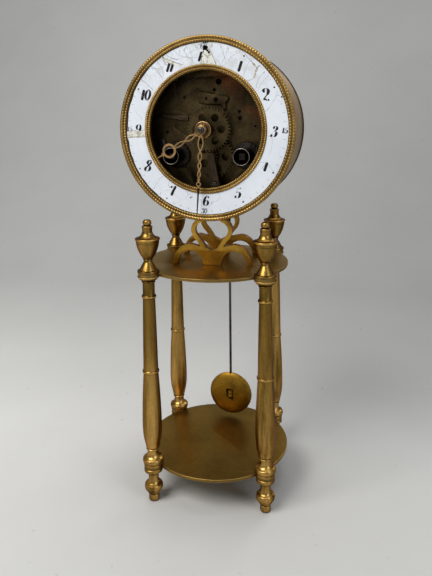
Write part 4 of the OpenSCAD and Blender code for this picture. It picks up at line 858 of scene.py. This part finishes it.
# The rating nut hangs a little below the top of its solid
RATING_NUT = [(0.8, -1.6), (2.6, -1.6), (2.9, -1.8), (2.9, -2.5), (2.7, -2.7), (2.7, -2.9), (2.9, -3.1), (2.9, -5.7),
              (2.7, -5.9), (2.7, -6.1), (2.9, -6.3), (2.9, -7.1), (2.6, -7.3), (0.8, -7.3)]
nut_low, nut_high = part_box("rating_nut")
nut_top = ((nut_low[0] + nut_high[0]) / 2, (nut_low[1] + nut_high[1]) / 2, nut_high[2])
lathe("rating_nut_turned", RATING_NUT, NUT, BODY_OF["rating_nut"], ["rating_nut"], n=48,
      matrix=Matrix.Translation(nut_top))


def bell_profile():
    back, lip, r, wall, bore, flat = 48.6, 37.6, 30, 1.2, 1.55, 14
    inner_r, inner_back = r - wall, back - wall
    return [(bore, back), (flat - 1, back), *bend((flat, back), (r - 1, back), (r, lip), 24),
            (r - 0.1, lip - 0.15), (r - 0.6, lip - 0.3), (r - 1.1, lip - 0.15), (inner_r, lip),
            *bend((inner_r, lip), (inner_r - 1, inner_back), (flat, inner_back), 24), (bore, inner_back),
            (bore, back)]


lathe("bell_spun", bell_profile(), BELL, ROOT, ["bell"], n=128)

# Pieces that keep the solid's own mesh
CAD_LOOKS = {
    WHEEL: ("going_barrel", "strike_barrel", "intermediate_wheel", "centre_wheel", "third_wheel", "escape_wheel",
            "strike_second_wheel", "count_wheel", "pin_wheel", "locking_wheel", "warning_wheel", "fly"),
    MOTION: ("minute_wheel", "hour_wheel"),
    STEEL: ("going_mainspring", "strike_mainspring", "anchor", "cannon_pinion"),
}
for mat, names in CAD_LOOKS.items():
    for name in names:
        NODES[name].data.materials.clear()
        NODES[name].data.materials.append(mat)


def slab(name, outline, thick, mat, bevel=0.2):
    """A flat piece on the front plate: an outline in the plate's plane that stands out to the front."""
    bm = bmesh.new()
    face = bm.faces.new([bm.verts.new((x * MM, MOVEMENT_Y * MM, z * MM)) for x, z in outline])
    grown = bmesh.ops.extrude_face_region(bm, geom=[face])["geom"]
    top = [v for v in grown if isinstance(v, bmesh.types.BMVert)]
    bmesh.ops.translate(bm, verts=top, vec=(0, -thick * MM, 0))
    rim = [e for e in bm.edges if all(v in top for v in e.verts)]
    bmesh.ops.bevel(bm, geom=rim, offset=bevel * MM, segments=2, affect="EDGES", profile=0.6)
    bmesh.ops.recalc_face_normals(bm, faces=bm.faces)
    return finish_mesh(name, bm, [mat], ROOT, matrix=HEAD)


def oil_sinks(name, places, front=MOVEMENT_Y):
    """Pivot holes in the front plate, or in a piece on it, each in a small raised rim. The hole itself is a shallow
    dish painted black, a painted shade.
    """
    bm = bmesh.new()
    for x, z, r in places:
        sink = [(r + 0.45, 0), (r + 0.35, 0.15), (r + 0.1, 0.16), (r, 0.04), (0, 0.03)]
        revolve(bm, in_front(front, sink), 24, material=lambda i: 0 if i < 2 else 1, centre=(x, -z))
    bmesh.ops.recalc_face_normals(bm, faces=bm.faces)
    return finish_mesh(name, bm, [COCK, BLACK_AND_SHADE], ROOT, matrix=HEAD_AXIS)


BRIDGE = [(-9.2, 26.0), (-9.6, 18.8), (-3.5, 17.4), (7.4, 17.0), (8.4, 13.2), (10.6, 13.4), (10.4, 18.6),
          (11.9, 19.4), (12.5, 21.8)]
BRIDGE_T = 1.5
LEVER = smooth([(-38.0, 10.3), (-30.0, 8.9), (-17.0, 7.4)], 6)
LEVER_WIDTHS, SPRING_W = [2.2] * 9 + [3.0] * 4, 0.5
SPRING = smooth([(-32.8, 15.2), (-32.0, 18.7), (-28.8, 23.0), (-23.1, 28.9), (-17.4, 32.6), (-10.0, 35.4)], 6)
# Each hole: x, z and radius
BRIDGE_HOLES = [(3.6, 19.9, 1.7), (-3.4, 21.0, 0.8)]
PLATE_HOLES = [(5.3, 32.3, 2.0), (2.1, 26.9, 1.0), (19.8, 12.0, 1.1), (20.2, 7.4, 1.3), (-20.0, 22.0, 0.8),
               (-33.0, -2.0, 1.0), (31.0, 2.0, 0.9)]
slab("strike_bridge", BRIDGE, BRIDGE_T, DARK)
oil_sinks("bridge_hole", BRIDGE_HOLES, MOVEMENT_Y - BRIDGE_T)
slab("strike_lever", strip(LEVER, LEVER_WIDTHS), 1.2, COCK, 0.15)
slab("lever_spring", strip(SPRING, [SPRING_W] * len(SPRING)), SPRING_W, STEEL, 0.08)
oil_sinks("plate_holes", PLATE_HOLES)

TUBE_WALL, RIM_WIRE = 0.4, 0.26
TUBE = [(TUBE_R - TUBE_WALL, RATCHET_Y), (TUBE_R - TUBE_WALL, TUBE_Y), (TUBE_R, TUBE_Y), (TUBE_R, RATCHET_Y)]
for side, sx in (("strike", -1), ("going", 1)):
    spin = HEAD_AXIS @ Matrix.Translation((sx * ARBOR_X * MM, -ARBOR_Z * MM, 0))
    body = BODY_OF[f"{side}_arbor"]
    lathe(f"{side}_tube", TUBE, BLACK, body, matrix=spin)
    lathe(f"{side}_tube_rim", hoop(TUBE_R - 0.15, RIM_WIRE, TUBE_Y), BRIGHT, body, matrix=spin)


# Stage: floor that turns up into a backdrop, lamps, room and camera

FLOOR_FRONT, TURN_START, TURN_R, WALL_TOP, HALF_WIDTH, TURN_STEPS = -2.2, 0.25, 0.9, 2.6, 2.6, 30
# How the backdrop darkens, a painted shade: directions from a point right of the clock, and tones at places along
# each
SHADE_X = 0.5
SHADES = (
    ((0, 1, 0), [(0.05, 1), (0.2, 0.88), (0.42, 0.66)]),
    ((-1, 0, 0), [(0.2, 0.70), (0.85, 1)]),
    ((0, 0, 1), [(0.02, 0.86), (0.5, 1)]),
)


def stage():
    mat, tree, bsdf, place = new_material("studio_floor")
    tone = ramp(tree, noise(tree, place, 9, 4, 0.5), (0.3, (0.78, 0.78, 0.76)), (0.7, (0.82, 0.82, 0.80)))
    tone = times(tree, tone, fade(tree, noise(tree, place, 160, 3, 0.5), (0.24, 0.72), (0.29, 1)))
    moved = mapped(tree, place, Location=(-SHADE_X, 0, 0))
    for direction, stops in SHADES:
        tone = times(tree, tone, fade(tree, along(tree, moved, direction), *stops))
    tree.links.new(tone, bsdf.inputs["Base Color"])
    fix(bsdf, {"Roughness": 0.7, "Specular IOR Level": 0.2})
    bm = bmesh.new()
    turns = [math.pi / 2 * k / TURN_STEPS for k in range(1, TURN_STEPS + 1)]
    turn_up = [(TURN_START + TURN_R * math.sin(t), TURN_R - TURN_R * math.cos(t)) for t in turns]
    path = [(FLOOR_FRONT, 0), (TURN_START, 0), *turn_up, (TURN_START + TURN_R, WALL_TOP)]
    rows = [[bm.verts.new((x, y, z)) for x in (-HALF_WIDTH, HALF_WIDTH)] for y, z in path]
    for a, b in zip(rows, rows[1:]):
        bm.faces.new((a[0], a[1], b[1], b[0]))
    mesh = bpy.data.meshes.new("studio_floor")
    bm.to_mesh(mesh)
    bm.free()
    mesh.polygons.foreach_set("use_smooth", [True] * len(mesh.polygons))
    mesh.materials.append(mat)
    floor = bpy.data.objects.new("studio_floor", mesh)
    bpy.context.scene.collection.objects.link(floor)


# Each lamp: its place, what it faces, its size, its power and its colour
LAMPS = {
    "key": ((-0.55, -0.75, 1.15), (0, 0, 0.15), (0.8, 0.6), 15.5, (1.0, 0.98, 0.95)),
    "fill": ((0.95, -0.7, 0.7), (0, 0, 0.18), (0.4, 0.9), 3.0, (0.95, 0.98, 1.0)),
    "top": ((0.05, 0.15, 1.35), (0, 0.05, 0.1), (1.0, 0.8), 6.0, (1, 1, 1)),
    "back": ((0.5, 0.8, 0.9), (0, 0, 0.2), (0.4, 0.6), 2.0, (1, 1, 1)),
}


def lamp(name, place, target, size, power, colour):
    data = bpy.data.lights.new(name, "AREA")
    data.shape = "RECTANGLE"
    data.size, data.size_y = size
    data.energy = power
    data.color = colour
    obj = bpy.data.objects.new(name, data)
    obj.location = place
    obj.rotation_euler = (Vector(target) - Vector(place)).to_track_quat("-Z", "Y").to_euler()
    bpy.context.scene.collection.objects.link(obj)


# Light from all round, with its strength, and the room that is seen
SKY, SKY_STRENGTH, ROOM = (0.86, 0.92, 1.0, 1), 0.14, (0.36, 0.36, 0.355, 1)


def studio_world():
    """Dim bluish light all round; the camera and the polished metal see a pale grey room."""
    world = bpy.data.worlds.new("studio")
    world.use_nodes = True
    tree = world.node_tree
    light = tree.nodes["Background"]
    fix(light, {"Color": SKY, "Strength": SKY_STRENGTH})
    room = node(tree, "ShaderNodeBackground", Color=ROOM)
    either = tree.nodes.new("ShaderNodeMixShader")
    rays = tree.nodes.new("ShaderNodeLightPath").outputs
    seen = rays["Is Camera Ray"]
    for kind in ("Is Glossy Ray", "Is Transmission Ray"):
        both = node(tree, "ShaderNodeMath", operation="MAXIMUM")
        tree.links.new(seen, both.inputs[0])
        tree.links.new(rays[kind], both.inputs[1])
        seen = both.outputs[0]
    tree.links.new(seen, either.inputs[0])
    tree.links.new(light.outputs[0], either.inputs[1])
    tree.links.new(room.outputs[0], either.inputs[2])
    tree.links.new(either.outputs[0], tree.nodes["World Output"].inputs["Surface"])
    bpy.context.scene.world = world


# The camera that was fitted to the photograph: angles in radians, lengths in pixels of its frame
YAW, PITCH, ROLL = 0.173, -0.131, -0.011
FOCAL, CENTRE_ROW, HEIGHT = 583.88, 190, 576
CAMERA_PLACE, SENSOR = Vector((0.07152, -0.40607, 0.26947)), 36


def photo_camera():
    forward = Vector((-math.sin(YAW) * math.cos(PITCH), math.cos(YAW) * math.cos(PITCH), math.sin(PITCH)))
    level = Vector((math.cos(YAW), math.sin(YAW), 0))
    upright = level.cross(forward)
    right = math.cos(ROLL) * level + math.sin(ROLL) * upright
    up = math.cos(ROLL) * upright - math.sin(ROLL) * level
    data = bpy.data.cameras.new("camera")
    data.sensor_width = SENSOR
    data.lens = SENSOR * FOCAL / HEIGHT
    data.shift_y = (CENTRE_ROW - HEIGHT / 2) / HEIGHT
    camera = bpy.data.objects.new("camera", data)
    camera.matrix_world = Matrix([*zip(right, up, -forward, CAMERA_PLACE), (0, 0, 0, 1)])
    bpy.context.scene.collection.objects.link(camera)
    bpy.context.scene.camera = camera


stage()
for name, values in LAMPS.items():
    lamp(name, *values)
studio_world()
photo_camera()
bpy.context.scene.view_settings.view_transform = "Standard"
